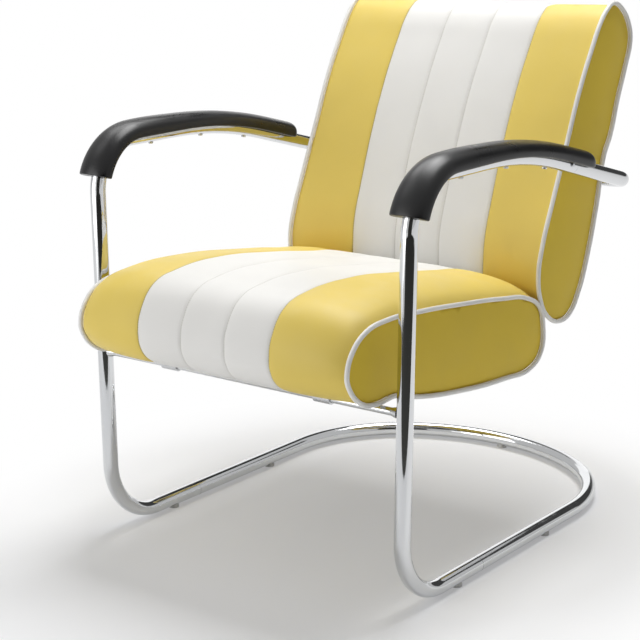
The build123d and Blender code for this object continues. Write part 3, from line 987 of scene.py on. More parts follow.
@dataclass
class Outline:
    """A smooth closed side view of a cushion, from shares of its box."""

    shares: tuple[Point, ...]
    corner: Point
    size: Point
    steps: int = 6
    cord_steps: int = 4

    def curve(self, x: float, radius: float = 0.0) -> bpy.types.Mesh:
        """Draw the outline as a smooth curve, round if a radius is given, and read its mesh.

        Args:
            x: Where its plane stands.
            radius: Radius of the cord along it.

        Returns:
            The curve's mesh.
        """
        data = bpy.data.curves.new("outline", "CURVE")
        data.dimensions = "3D"
        data.resolution_u = self.steps
        data.bevel_depth = radius
        data.bevel_resolution = self.cord_steps
        spline = data.splines.new("BEZIER")
        spline.bezier_points.add(len(self.shares) - 1)
        for point, (y, z) in zip(spline.bezier_points, self.shares):
            point.co = (x, self.corner[0] + y * self.size[0], self.corner[1] + z * self.size[1])
            point.handle_left_type = point.handle_right_type = "AUTO"
        spline.use_cyclic_u = True
        holder = add_object("outline", data)
        bpy.context.view_layer.update()
        graph = bpy.context.evaluated_depsgraph_get()
        mesh = bpy.data.meshes.new_from_object(holder.evaluated_get(graph))
        bpy.data.objects.remove(holder)
        bpy.data.curves.remove(data)
        return mesh

    def ring(self) -> list[Vector]:
        """Read the outline's vertices in order, in the plane of the chair's middle.

        Returns:
            Places of the ring's vertices.
        """
        mesh = self.curve(0.0)
        places = [vertex.co.copy() for vertex in mesh.vertices]
        bpy.data.meshes.remove(mesh)
        return places


def ring_normals(ring: Sequence[Vector]) -> list[Vector]:
    """Work out the inward direction at each vertex of a clockwise ring.

    Args:
        ring: The ring's vertices.

    Returns:
        Unit directions that point into the cushion.
    """
    runs = [ring[(index + 1) % len(ring)] - ring[index - 1] for index in range(len(ring))]
    return [Vector((0.0, run.z, -run.y)).normalized() for run in runs]


def rim_distance(place: Vector, rim: Sequence[Vector]) -> float:
    """Distance of a place from a closed rim.

    Args:
        place: The place.
        rim: The rim's vertices in order.

    Returns:
        The shortest distance to any of its sides.
    """
    found = []
    for index, here in enumerate(rim):
        after = rim[(index + 1) % len(rim)]
        near, share = intersect_point_line(place, here, after)
        if share < 0:
            near = here
        elif share > 1:
            near = after
        found.append((place - near).length)
    return min(found)


@dataclass
class Cushion:
    """A crowned, channelled and piped cushion: its sizes and the pieces of its cover."""

    name: str
    edge: Outline
    middle: Outline
    seam_x: float
    channel_x: float
    flat_half_width: float
    crown_power: float
    crown_root: float
    sheet_edges: Point
    sheet_node: str
    sheet_slot: Slot
    sheet_bulge: float
    left_stretch: float = 1.0
    sag: float = 0.0
    pillow: float = 0.0022
    pillow_reach: float = 0.03
    groove: float = 0.0013
    groove_width: float = 0.0026
    pucker: float = 0.000748
    pucker_reach: float = 0.009
    pucker_pitch: float = 85.0
    unevenness: float = 0.0009
    panel_bulge: float = 0.004
    panel_reach: float = 0.070
    panel_inset: float = 0.0004
    panel_grid: float = 0.016
    wall: float = 0.0018
    sheet_wall: float = 0.0012
    gap_steps: tuple[float, ...] = (0.0, 0.0009, 0.0022, 0.004, 0.0068, 0.011, 0.0175, 0.027)
    side_shares: tuple[float, ...] = (
        0.14, 0.28, 0.42, 0.55, 0.67, 0.77, 0.85, 0.91, 0.955, 0.985, 1.0,
    )
    sheet_shares: tuple[float, ...] = (0.0, 0.012, 0.03, 0.07, 0.14, 0.25, 0.38, 0.5)
    panel_rings: tuple[float, ...] = (0.0022, 0.004, 0.007, 0.011)

    def __post_init__(self) -> None:
        """Read the two outlines once."""
        self.edge_ring = self.edge.ring()
        self.middle_ring = self.middle.ring()
        self.edge_normals = ring_normals(self.edge_ring)
        self.middle_normals = ring_normals(self.middle_ring)
        self.seam_lines = (-self.seam_x, -self.channel_x, self.channel_x, self.seam_x)
        self.along = [0.0]
        for here, after in zip(self.middle_ring, self.middle_ring[1:]):
            self.along.append(self.along[-1] + (after - here).length)

    def crown(self, x: float) -> float:
        """Share of the full crown at a distance across.

        Args:
            x: Distance across the chair.

        Returns:
            The share, from 0 at the piping to 1 in the flat middle.
        """
        reach = max(0.0, abs(x) - self.flat_half_width) / (SIDE_X - self.flat_half_width)
        return max(0.0, 1 - reach**self.crown_power) ** self.crown_root

    def seam_gap(self, x: float) -> float:
        """Distance to the nearest sewn line."""
        return min(abs(x - line) for line in self.seam_lines)

    def dip(self, x: float) -> float:
        """How far the cover is pulled in at a distance across.

        Args:
            x: Distance across the chair.

        Returns:
            The dip, from pillows and sewn lines together.
        """
        gap = self.seam_gap(x)
        sewn = self.groove * math.exp(-((gap / self.groove_width) ** 2))
        if abs(x) >= self.seam_x:
            return self.pillow * (1 - min(1.0, gap / self.pillow_reach)) ** 3 + sewn
        low = max(line for line in self.seam_lines if line <= x + TOUCH)
        high = min(line for line in self.seam_lines if line > low)
        share = abs(2 * (x - low) / (high - low) - 1)
        return self.pillow * share**5 + sewn

    def lift(self, x: float, along: float, share: float) -> float:
        """Puckers beside the seams and the slow unevenness of a filled cover.

        Args:
            x: Distance across the chair.
            along: Distance along the seam.
            share: Share of the full crown there.

        Returns:
            How far the cover is moved inwards.
        """
        gap = self.seam_gap(x)
        gap_pitch, row_shift = 30.0, 3
        across_pitch, along_pitch, seed_step = 13.0, 11.0, 1.7
        fold = noise.noise(
            Vector(
                (
                    along * self.pucker_pitch,
                    round(gap, 3) * gap_pitch,
                    math.copysign(row_shift, x),
                )
            )
        )
        seed = len(self.name) * seed_step
        swell = noise.noise(Vector((x * across_pitch, along * along_pitch, seed)))
        near = math.exp(-gap / self.pucker_reach)
        return self.pucker * fold * near + self.unevenness * swell * share

    def station(self, x: float) -> list[Vector]:
        """Places of one station of the cover.

        Args:
            x: Distance across the chair.

        Returns:
            The station's vertices.
        """
        share = self.crown(x)
        dip = self.dip(x)
        places = []
        for index, edge in enumerate(self.edge_ring):
            base = edge.lerp(self.middle_ring[index], share)
            inward = self.edge_normals[index].lerp(self.middle_normals[index], share)
            inward.normalize()
            depth = COVER_INSET + dip + self.lift(x, self.along[index], share)
            place = base + inward * depth
            place.z -= self.sag * share * self.slack_share(place)
            places.append(Vector((self.stretched(x), place.y, place.z)))
        return places

    def stretched(self, x: float) -> float:
        """Distance across, a little wider on the left as the real cover is."""
        return x * self.left_stretch if x < 0 else x

    def slack_share(self, place: Vector) -> float:
        """How far a place lies in the slack under the cushion, behind its bar.

        Args:
            place: A place on the cover.

        Returns:
            The share, from 0 to 1.
        """
        rise, fall, top = (0.120, 0.142), (0.20, 0.30), (0.335, 0.350)
        slack = smooth_step(place.y, FRONT + rise[0], FRONT + rise[1])
        slack *= 1 - smooth_step(place.y, FRONT + fall[0], FRONT + fall[1])
        return slack * (1 - smooth_step(place.z, *top))

    def middle_stations(self) -> list[float]:
        """Distances across of the middle's stations.

        Returns:
            The distances, from left to right.
        """
        found = set()
        for low, high in zip(self.seam_lines, self.seam_lines[1:]):
            for step in self.gap_steps:
                found |= {round(low + step, 6), round(high - step, 6)}
            found.add(round((low + high) / 2, 6))
        return sorted(found)

    def side_stations(self) -> list[float]:
        """Distances from the middle of a side stripe's stations.

        Returns:
            The distances, from the seam outwards.
        """
        start = [self.seam_x + step for step in self.gap_steps]
        span = SIDE_X - start[-1]
        return start + [start[-1] + share * span for share in self.side_shares]

    def cover_mesh(self, name: str, stations: Sequence[float]) -> bpy.types.Mesh:
        """Loft the cover through its stations.

        Args:
            name: The mesh's name.
            stations: Distances across the chair.

        Returns:
            The mesh, with its distances from and along the seams.
        """
        loft = RingLoft(self.station(stations[0]), closed=True)
        for number, x in enumerate(stations):
            if number:
                loft.extend(self.station(x))
            loft.mark(self.along, self.seam_gap(x))
        return loft.mesh(name)

    def cover_middle(self, shop: Workshop) -> None:
        """Build the white middle of the cover, which also stands for the filling and board.

        Args:
            shop: Where the piece is made.
        """
        name = f"{self.name}_cover_middle"
        mesh = self.cover_mesh(name, self.middle_stations())
        nodes = (name, f"{self.name}_foam", f"{self.name}_board")
        made = shop.piece(f"{name}_hide", mesh, Slot.WHITE, nodes)
        smoothed(made, self.wall)

    def cover_side(self, shop: Workshop, side: Side) -> None:
        """Build one yellow stripe of the cover.

        Args:
            shop: Where the piece is made.
            side: Which side.
        """
        name = f"{self.name}_cover_{side.word}"
        mesh = self.cover_mesh(name, [side.value * x for x in self.side_stations()])
        made = shop.piece(f"{name}_hide", mesh, Slot.YELLOW, (name,))
        smoothed(made, self.wall)

    def cut_grid(self, bm: bmesh.types.BMesh, face: bmesh.types.BMFace) -> None:
        """Cut a panel's inner face, and then what touches it, into a grid that can swell.

        Args:
            bm: The panel.
            face: Its inner face.
        """
        inner = [face]
        for normal, low, high in PANEL_CUTS:
            for number in range(math.ceil((high - low) / self.panel_grid)):
                for item in inner:
                    item.tag = True
                geom = inner + list({edge for item in inner for edge in item.edges})
                geom += list({vertex for item in inner for vertex in item.verts})
                place = normal * (low + number * self.panel_grid)
                bmesh.ops.bisect_plane(bm, geom=geom, plane_co=place, plane_no=normal)
                inner = [item for item in bm.faces if len(item.verts) > 4 or item.tag]

    def side_panel(self, shop: Workshop, side: Side) -> None:
        """Build one side panel, a little fuller in its middle than at its piping.

        Args:
            shop: Where the piece is made.
            side: Which side.
        """
        name = f"{self.name}_side_{side.word}"
        bm = bmesh.new()
        x = self.stretched(side.value * SIDE_X)
        rim = []
        for edge, inward in zip(self.edge_ring, self.edge_normals):
            place = edge + inward * (COVER_INSET + self.panel_inset)
            rim.append(Vector((x, place.y, place.z)))
        face = bm.faces.new([bm.verts.new(place) for place in rim])
        for step in self.panel_rings:
            bmesh.ops.inset_region(bm, faces=[face], thickness=step, use_even_offset=True)
        self.cut_grid(bm, face)
        swell_pitch, fullness_power = 14.0, 2.6
        for vertex in bm.verts:
            reach = min(1.0, rim_distance(vertex.co, rim) / self.panel_reach)
            fullness = 1 - (1 - reach) ** fullness_power
            swell = noise.noise(vertex.co * swell_pitch) * self.unevenness * fullness
            vertex.co.x += side.value * (self.panel_bulge * fullness + swell)
        bmesh.ops.recalc_face_normals(bm, faces=bm.faces)
        mesh = finished_mesh(bm, name)
        if mesh.polygons[0].normal.x * side.value < 0:
            mesh.flip_normals()
        # The panel takes the shaded copy of the yellow, whose colour is painted shade.
        made = shop.piece(f"{name}_hide", mesh, Slot.YELLOW, (name,), look=Slot.REAR)
        smoothed(made, self.wall)

    def piping(self, shop: Workshop, side: Side) -> None:
        """Build the piping cord round one side.

        Args:
            shop: Where the piece is made.
            side: Which side.
        """
        name = f"{self.name}_piping_{side.word}"
        mesh = self.edge.curve(self.stretched(side.value * PIPING_X), PIPING_RADIUS)
        mesh.name = name
        shop.piece(f"{name}_cord", mesh, Slot.PIPING, (name,))

    def sheet_row(self, share: float, first: int, last: int) -> list[Vector]:
        """Places of one row of the closing sheet.

        Args:
            share: How far across the sheet the row lies, from 0 to 1.
            first: The outline's vertex where the sheet starts.
            last: The outline's vertex where it ends.

        Returns:
            The row's vertices.
        """
        clearance, swell_reach = 0.0006, 0.05
        x = SHEET_HALF_WIDTH * (2 * share - 1)
        rim = min(share, 1 - share) * 2 * SHEET_HALF_WIDTH
        places = []
        for index in range(first, last + 1):
            here = self.edge_ring[index]
            end = min((here - self.edge_ring[limit]).length for limit in (first, last))
            fullness = smooth_step(min(rim, end), 0.0, swell_reach)
            lift = clearance + self.sheet_bulge * fullness
            place = here + self.edge_normals[index] * (COVER_INSET - lift)
            places.append(Vector((x, place.y, place.z)))
        return places

    def closing_sheet(self, shop: Workshop) -> None:
        """Build the sheet that closes the cover under the seat or behind the backrest.

        Args:
            shop: Where the piece is made.
        """
        first, last = (round(end * self.edge.steps) for end in self.sheet_edges)
        across = sorted({*self.sheet_shares, *(1 - share for share in self.sheet_shares)})
        rows = [self.sheet_row(share, first, last) for share in across]
        mesh = lofted(rows, closed=False).mesh(self.sheet_node)
        out = -self.edge_normals[(first + last) // 2]
        if mesh.polygons[len(mesh.polygons) // 2].normal.dot(out) < 0:
            mesh.flip_normals()
        name = self.sheet_node
        smoothed(shop.piece(f"{name}_panel", mesh, self.sheet_slot, (name,)), self.sheet_wall)

    def build(self, shop: Workshop) -> None:
        """Build every piece of the cushion.

        Args:
            shop: Where the pieces are made.
        """
        self.cover_middle(shop)
        self.closing_sheet(shop)
        for side in Side:
            self.cover_side(shop, side)
            self.side_panel(shop, side)
            self.piping(shop, side)


def seat_cushion() -> Cushion:
    """Set out the seat cushion.

    Returns:
        The seat.
    """
    corner, size = (FRONT - COVER_INSET, 0.276), (0.5481, 0.1982)
    edge = (
        (0.032, 0.530), (0.057, 0.684), (0.114, 0.792), (0.200, 0.825), (0.364, 0.800),
        (0.561, 0.742), (0.762, 0.669), (0.915, 0.583), (0.978, 0.474), (1.000, 0.308),
        (0.991, 0.101), (0.937, 0.000), (0.796, 0.000), (0.554, 0.061), (0.335, 0.165),
        (0.250, 0.235), (0.145, 0.235), (0.090, 0.284), (0.039, 0.434),
    )
    middle = (
        (0.000, 0.560), (0.020, 0.760), (0.074, 0.926), (0.172, 0.993), (0.350, 1.000),
        (0.548, 0.934), (0.762, 0.840), (0.920, 0.750), (0.988, 0.612), (0.999, 0.348),
        *edge[10:17], (0.062, 0.272), (0.014, 0.392),
    )
    return Cushion(
        name="seat",
        edge=Outline(edge, corner, size),
        middle=Outline(middle, corner, size),
        seam_x=0.1247,
        channel_x=0.0416,
        flat_half_width=0.100,
        crown_power=3.2,
        crown_root=0.62,
        sheet_edges=(11.45, 15.55),
        sheet_node="seat_dust_cover",
        sheet_slot=Slot.CLOTH,
        sheet_bulge=0.0,
        left_stretch=1.036,
        sag=0.0145,
        pillow=0.0015,
        groove=0.0011,
    )


def back_cushion() -> Cushion:
    """Set out the backrest cushion.

    Returns:
        The backrest.
    """
    corner, size = (FRONT + 0.5246, 0.333), (0.2887, 0.507)
    edge = (
        (0.007, 0.180), (0.047, 0.276), (0.134, 0.389), (0.290, 0.580), (0.404, 0.724),
        (0.539, 0.858), (0.650, 0.950), (0.712, 0.981), (0.775, 0.998), (0.872, 0.983),
        (0.983, 0.915), (1.000, 0.868), (0.945, 0.783), (0.868, 0.686), (0.791, 0.570),
        (0.722, 0.507), (0.653, 0.353), (0.545, 0.171), (0.466, 0.079), (0.368, 0.016),
        (0.251, 0.002), (0.114, 0.035), (0.031, 0.102),
    )
    middle = (
        (0.075, 0.180), (0.092, 0.276), (0.158, 0.389), (0.285, 0.580), (0.407, 0.726),
        (0.553, 0.869), (0.638, 0.940), (0.703, 0.974), (0.766, 0.992), (0.868, 0.979),
        (0.976, 0.909), (0.989, 0.860), (0.939, 0.780), *edge[13:20],
        (0.262, 0.006), (0.146, 0.041), (0.085, 0.104),
    )
    return Cushion(
        name="back",
        edge=Outline(edge, corner, size),
        middle=Outline(middle, corner, size),
        seam_x=0.1335,
        channel_x=0.0450,
        flat_half_width=0.120,
        crown_power=1.5,
        crown_root=1.0,
        sheet_edges=(13.45, 17.55),
        sheet_node="back_rear_panel",
        sheet_slot=Slot.REAR,
        sheet_bulge=0.0015,
    )


class TubeRun:
    """Makes a round tube along straight runs and true bends by extruding and spinning a ring."""

    def __init__(
        self, corners: Sequence[Vector], radii: Sequence[float], tube: float, wall: float
    ) -> None:
        """Keep the route.

        Args:
            corners: The route's ends and corners.
            radii: Bend radius at each corner between the ends.
            tube: The tube's outer radius.
            wall: The tube's wall.
        """
        self.corners = corners
        self.radii = radii
        self.bores = (tube, tube - wall)
        self.bm = bmesh.new()

    def start_rings(self, sides: int = 40) -> list[bmesh.types.BMEdge]:
        """Make the outer and inner ring, square to the first run.

        Args:
            sides: How many sides each ring has.

        Returns:
            The edges of both rings.
        """
        direction = (self.corners[1] - self.corners[0]).normalized()
        turn = direction.to_track_quat("Z", "Y").to_matrix().to_4x4()
        for radius in self.bores:
            bmesh.ops.create_circle(
                self.bm, segments=sides, radius=radius, cap_ends=False,
                matrix=Matrix.Translation(self.corners[0]) @ turn,
            )
        return list(self.bm.edges)

    def run(self, edges: list[bmesh.types.BMEdge], move: Vector) -> list[bmesh.types.BMEdge]:
        """Extrude the ring straight on.

        Args:
            edges: The ring's edges.
            move: How far and where to.

        Returns:
            The new ring's edges.
        """
        if move.length < TOUCH:
            return edges
        verts, ring = extrude_ring(self.bm, edges)
        bmesh.ops.translate(self.bm, verts=verts, vec=move)
        return ring

    def bend(
        self, edges: list[bmesh.types.BMEdge], centre: Vector, axis: Vector, angle: float
    ) -> list[bmesh.types.BMEdge]:
        """Spin the ring round a bend.

        Args:
            edges: The ring's edges.
            centre: The bend's centre.
            axis: The axis that it turns about.
            angle: How far it turns.

        Returns:
            The new ring's edges.
        """
        step_degrees = 2.5
        verts = list({vertex for edge in edges for vertex in edge.verts})
        steps = max(2, math.ceil(math.degrees(abs(angle)) / step_degrees))
        result = bmesh.ops.spin(
            self.bm, geom=verts + edges, cent=centre, axis=axis, dvec=(0, 0, 0),
            angle=angle, steps=steps, use_merge=False, use_duplicate=False,
        )["geom_last"]
        return [item for item in result if isinstance(item, bmesh.types.BMEdge)]

    def mesh(self, name: str) -> bpy.types.Mesh:
        """Make the tube's mesh, with a wall that shows at both ends.

        Args:
            name: The mesh's name.

        Returns:
            The mesh.
        """
        edges = self.start_rings()
        mouths = list(edges)
        here = self.corners[0]
        for index, radius in enumerate(self.radii, start=1):
            corner = self.corners[index]
            before = (corner - self.corners[index - 1]).normalized()
            after = (self.corners[index + 1] - corner).normalized()
            angle = before.angle(after)
            axis = before.cross(after).normalized()
            reach = radius * math.tan(angle / 2)
            start = corner - before * reach
            edges = self.run(edges, start - here)
            edges = self.bend(edges, start + axis.cross(before) * radius, axis, angle)
            here = corner + after * reach
        edges = self.run(edges, self.corners[-1] - here)
        for ring in (mouths, edges):
            bmesh.ops.bridge_loops(self.bm, edges=ring)
            for edge in ring:
                edge.smooth = False
        bmesh.ops.recalc_face_normals(self.bm, faces=self.bm.faces)
        return finished_mesh(self.bm, name)


@dataclass
class TubeFrame:
    """The bent tube frame: floor hoop, two side tubes and the rear bar."""

    tube: float = 0.0125
    wall: float = 0.002
    runner_x: float = 0.2896
    arm_x: float = 0.300
    floor_z: float = 0.016
    arm_z: float = 0.6445
    runner_joint_y: float = FRONT + 0.297
    foot_y: float = FRONT + 0.0929
    head_y: float = FRONT + 0.1016
    crest_y: float = FRONT + 0.3937
    joint_y: float = FRONT + 0.542
    bar_y: float = FRONT + 0.742
    hoop_rear_y: float = 0.41225
    hoop_corner_radius: float = 0.238
    hoop_turn: float = math.radians(60.0)
    foot_radius: float = 0.100
    head_radius: float = 0.080
    crest_radius: float = 0.800
    bar_radius: float = 0.045
    slope: float = math.tan(math.radians(15.2))
    joint_gap: float = 0.0002

    def slope_z(self, y: float) -> float:
        """Height of the arm's centreline on its rear slope."""
        return self.arm_z - (y - self.crest_y) * self.slope

    def hoop_route(self) -> tuple[list[Vector], list[float]]:
        """Corners and bend radii of the floor hoop.

        Returns:
            The corners and the radii.
        """
        turn, corner = self.hoop_turn, self.hoop_corner_radius
        rear = (self.runner_x - corner * (1 - math.cos(turn))) / math.cos(turn)
        start_y = self.hoop_rear_y - corner * math.sin(turn) - rear * (1 - math.sin(turn))
        first_y = start_y + corner * math.tan(turn / 2)
        second_x = rear * math.tan((math.pi / 2 - turn) / 2)
        joint = self.runner_joint_y + self.joint_gap
        half = [(self.runner_x, joint), (self.runner_x, first_y), (second_x, self.hoop_rear_y)]
        corners = [Vector((x, y, self.floor_z)) for x, y in half]
        corners += [Vector((-x, y, self.floor_z)) for x, y in reversed(half)]
        return corners, [corner, rear, rear, corner]

    def side_route(self, side: Side) -> tuple[list[Vector], list[float]]:
        """Corners and bend radii of one side tube.

        Args:
            side: Which side.

        Returns:
            The corners and the radii.
        """
        runner_x, arm_x = side.value * self.runner_x, side.value * self.arm_x
        corners = [
            Vector((runner_x, self.runner_joint_y - self.joint_gap, self.floor_z)),
            Vector((runner_x, self.foot_y, self.floor_z)),
            Vector((arm_x, self.head_y, self.arm_z)),
            Vector((arm_x, self.crest_y, self.arm_z)),
            Vector((arm_x, self.joint_y, self.slope_z(self.joint_y))),
        ]
        return corners, [self.foot_radius, self.head_radius, self.crest_radius]

    def rear_route(self) -> tuple[list[Vector], list[float]]:
        """Corners and bend radii of the rear bar.

        Returns:
            The corners and the radii.
        """
        start = self.joint_y + self.joint_gap
        across = [(1, start), (1, self.bar_y), (-1, self.bar_y), (-1, start)]
        corners = [Vector((sign * self.arm_x, y, self.slope_z(y))) for sign, y in across]
        return corners, [self.bar_radius, self.bar_radius]

    def build(self, shop: Workshop) -> None:
        """Build the tubes.

        Args:
            shop: Where the pieces are made.
        """
        routes = {
            "floor_hoop": self.hoop_route(),
            "left_side_tube": self.side_route(Side.LEFT),
            "right_side_tube": self.side_route(Side.RIGHT),
            "rear_bar": self.rear_route(),
        }
        for node, (corners, radii) in routes.items():
            mesh = TubeRun(corners, radii, self.tube, self.wall).mesh(node)
            shop.piece(f"{node}_chrome", mesh, Slot.CHROME, (node,))


@dataclass
class ArmPad:
    """A moulded arm pad that follows the arm over its front bend."""

    tubes: TubeFrame
    side: Side
    front_angle: float = math.radians(19.5)
    bottom: float = 0.0018
    crown: float = 0.0285
    band: float = 0.005
    centre_share: float = 0.25
    front_half_width: float = 0.0319
    mid_half_width: float = 0.028
    tail_half_width: float = 0.0249
    tail_y: float = FRONT + 0.590
    tail_length: float = 0.020
    mouth_depth: float = 0.0012
    lip_depth: float = 0.0006
    taper_reach: float = 1.35
    sides: int = 36
    bend_steps: int = 12
    arm_steps: int = 14
    top_powers: Point = (0.92, 0.95)
    side_powers: Point = (0.28, 2.2)
    lip_shrink: float = 0.16
    mouth_shrinks: tuple[Point, ...] = ((0.0, 0.055), (0.010, 0.014), (0.025, 0.0))
    tail_shares: tuple[float, ...] = (0.3, 0.55, 0.75, 0.88, 0.96, 1.0)
    tail_bluntness: float = 0.97
    eases: tuple[Ease, ...] = (
        (-0.0018, 0.02, 0.09), (0.0017, 0.25, 0.11), (-0.0022, 0.60, 0.26),
    )

    def arm_place(self, y: float) -> tuple[Vector, Vector]:
        """Centreline place and direction of the arm behind its front bend.

        Args:
            y: Distance along the chair.

        Returns:
            The place and the unit direction.
        """
        slope, radius = math.atan(self.tubes.slope), self.tubes.crest_radius
        start = self.tubes.crest_y - radius * math.tan(slope / 2)
        turned = min(slope, math.asin(min(1.0, max(0.0, (y - start) / radius))))
        drop = radius * (1 - math.cos(turned))
        z = self.tubes.arm_z - drop if turned < slope else self.tubes.slope_z(y)
        place = Vector((self.side.value * self.tubes.arm_x, y, z))
        return place, Vector((0.0, math.cos(turned), -math.sin(turned)))

    def bend_place(self, share: float) -> tuple[Vector, Vector]:
        """Centreline place and direction in the front bend.

        Args:
            share: How far round the bend, from the pad's mouth at 0 to level at 1.

        Returns:
            The place and the unit direction.
        """
        angle = self.front_angle + share * (math.pi / 2 - self.front_angle)
        radius = self.tubes.head_radius
        y = self.tubes.head_y + radius - radius * math.cos(angle)
        z = self.tubes.arm_z - radius + radius * math.sin(angle)
        place = Vector((self.side.value * self.tubes.arm_x, y, z))
        return place, Vector((0.0, math.sin(angle), math.cos(angle)))

    def crown_ease(self, place: Vector) -> float:
        """How much the crown is raised or eased at a place.

        Args:
            place: Centreline place.

        Returns:
            The rise, from all eases together.
        """
        run = (place.y - self.tubes.head_y) / (self.tail_y - self.tubes.head_y)
        return sum(
            rise * math.exp(-(((run - middle) / width) ** 2))
            for rise, middle, width in self.eases
        )

    def section(
        self, place: Vector, along: Vector, half_width: float, shrink: float = 0.0
    ) -> list[Vector]:
        """One D-shaped section, square to the arm.

        Args:
            place: Centreline place.
            along: Centreline direction.
            half_width: Half of the pad's width there.
            shrink: How much the section is drawn in for a rounded end, from 0 to 1.

        Returns:
            The section's vertices.
        """
        up = Vector((0.0, -along.z, along.y))
        height = self.crown + self.crown_ease(place) - self.bottom - self.band
        centre = self.bottom + self.band + self.centre_share * height
        found = []
        for number in range(self.sides):
            angle = math.tau * number / self.sides
            across, rise = math.cos(angle), math.sin(angle)
            if rise >= 0:
                wide = half_width * math.copysign(abs(across) ** self.top_powers[0], across)
                high = self.bottom + self.band + height * rise ** self.top_powers[1]
            else:
                wide = half_width * math.copysign(abs(across) ** self.side_powers[0], across)
                high = self.bottom + self.band * (1 + rise) ** self.side_powers[1]
                if abs(wide) < self.tubes.tube:
                    high = max(high, math.sqrt(self.tubes.tube**2 - wide**2))
            wide *= 1 - shrink
            high = centre + (high - centre) * (1 - shrink)
            found.append(place + up * high + Vector((wide, 0.0, 0.0)))
        return found

    def mouth_sections(self) -> list[list[Vector]]:
        """Sections of the rounded front end.

        Returns:
            The sections, from the mouth backwards.
        """
        place, along = self.bend_place(0.0)
        lip = place - along * (self.mouth_depth - self.lip_depth)
        found = [self.section(lip, along, self.front_half_width, self.lip_shrink)]
        for share, shrink in self.mouth_shrinks:
            place, along = self.bend_place(share)
            place = place - along * self.mouth_depth
            found.append(self.section(place, along, self.front_half_width, shrink))
        return found

    def stations(self) -> list[list[Vector]]:
        """All sections from the front end to the tail.

        Returns:
            The sections.
        """
        found = self.mouth_sections()
        narrower = self.mid_half_width - self.front_half_width
        for number in range(1, self.bend_steps + 1):
            share = number / self.bend_steps
            width = self.front_half_width + narrower * smooth_step(share, 0.0, self.taper_reach)
            found.append(self.section(*self.bend_place(share), width))
        start = self.tubes.head_y + self.tubes.head_radius
        end = self.tail_y - self.tail_length
        for number in range(1, self.arm_steps + 1):
            share = number / self.arm_steps
            width = self.mid_half_width + (self.tail_half_width - self.mid_half_width) * share
            found.append(self.section(*self.arm_place(start + share * (end - start)), width))
        for share in self.tail_shares:
            place, along = self.arm_place(end + share * self.tail_length)
            shrink = 1 - math.sqrt(max(0.0, 1 - (self.tail_bluntness * share) ** 2))
            found.append(self.section(place, along, self.tail_half_width, shrink))
        return found

    def build(self, shop: Workshop) -> None:
        """Build the pad.

        Args:
            shop: Where the piece is made.
        """
        name = f"{self.side.word}_arm_pad"
        loft = lofted(self.stations(), closed=True)
        loft.cap()
        smoothed(shop.piece(f"{name}_moulding", loft.mesh(name), Slot.PAD, (name,)))


def stage_sheet(name: str, half_size: float, place: Matrix) -> bpy.types.Object:
    """Add a flat square that belongs to the studio.

    Args:
        name: Its name.
        half_size: Half of its side.
        place: Where its mesh is moved to.

    Returns:
        The sheet.
    """
    bm = bmesh.new()
    bmesh.ops.create_grid(bm, x_segments=1, y_segments=1, size=half_size)
    bmesh.ops.transform(bm, matrix=place, verts=bm.verts)
    made = add_object(name, finished_mesh(bm, name))
    return made


def facing(x: float, y: float, z: float) -> Matrix:
    """The turn that makes a flat card look in a direction."""
    return Vector((x, y, z)).to_track_quat("Z", "Y").to_matrix().to_4x4()


@dataclass(frozen=True)
class Lamp:
    """A square soft lamp."""

    name: str
    place: Place
    aim: Place
    size: float
    power: float

    def hang(self) -> None:
        """Hang the lamp so that it points at its aim."""
        data = bpy.data.lights.new(self.name, "AREA")
        data.shape = "SQUARE"
        data.size = self.size
        data.energy = self.power
        turn = (Vector(self.aim) - Vector(self.place)).to_track_quat("-Z", "Y")
        made = add_object(self.name, data)
        made.matrix_world = Matrix.Translation(self.place) @ turn.to_matrix().to_4x4()


@dataclass(frozen=True)
class Card:
    """A card that only gloss sees, dark for stripes or bright for highlights."""

    name: str
    place: Place | Vector
    turn: Matrix
    size: Point
    glow: float = 0.0
    dark: Colour = (0.07, 0.07, 0.065)

    def stand(self) -> None:
        """Stand the card in its place."""
        scale = Matrix.Diagonal((*self.size, 1.0, 1.0))
        made = stage_sheet(
            self.name, 0.5, Matrix.Translation(self.place) @ self.turn @ scale
        )
        material, graph = blank_material(self.name)
        if self.glow:
            face = graph.node("ShaderNodeEmission")
            face.inputs["Strength"].default_value = self.glow
        else:
            face = graph.node("ShaderNodeBsdfDiffuse")
            face.inputs["Color"].default_value = (*self.dark, 1.0)
        graph.show(face.outputs[0])
        made.data.materials.append(material)
        made.visible_camera = made.visible_diffuse = False
        made.visible_shadow = made.visible_transmission = False


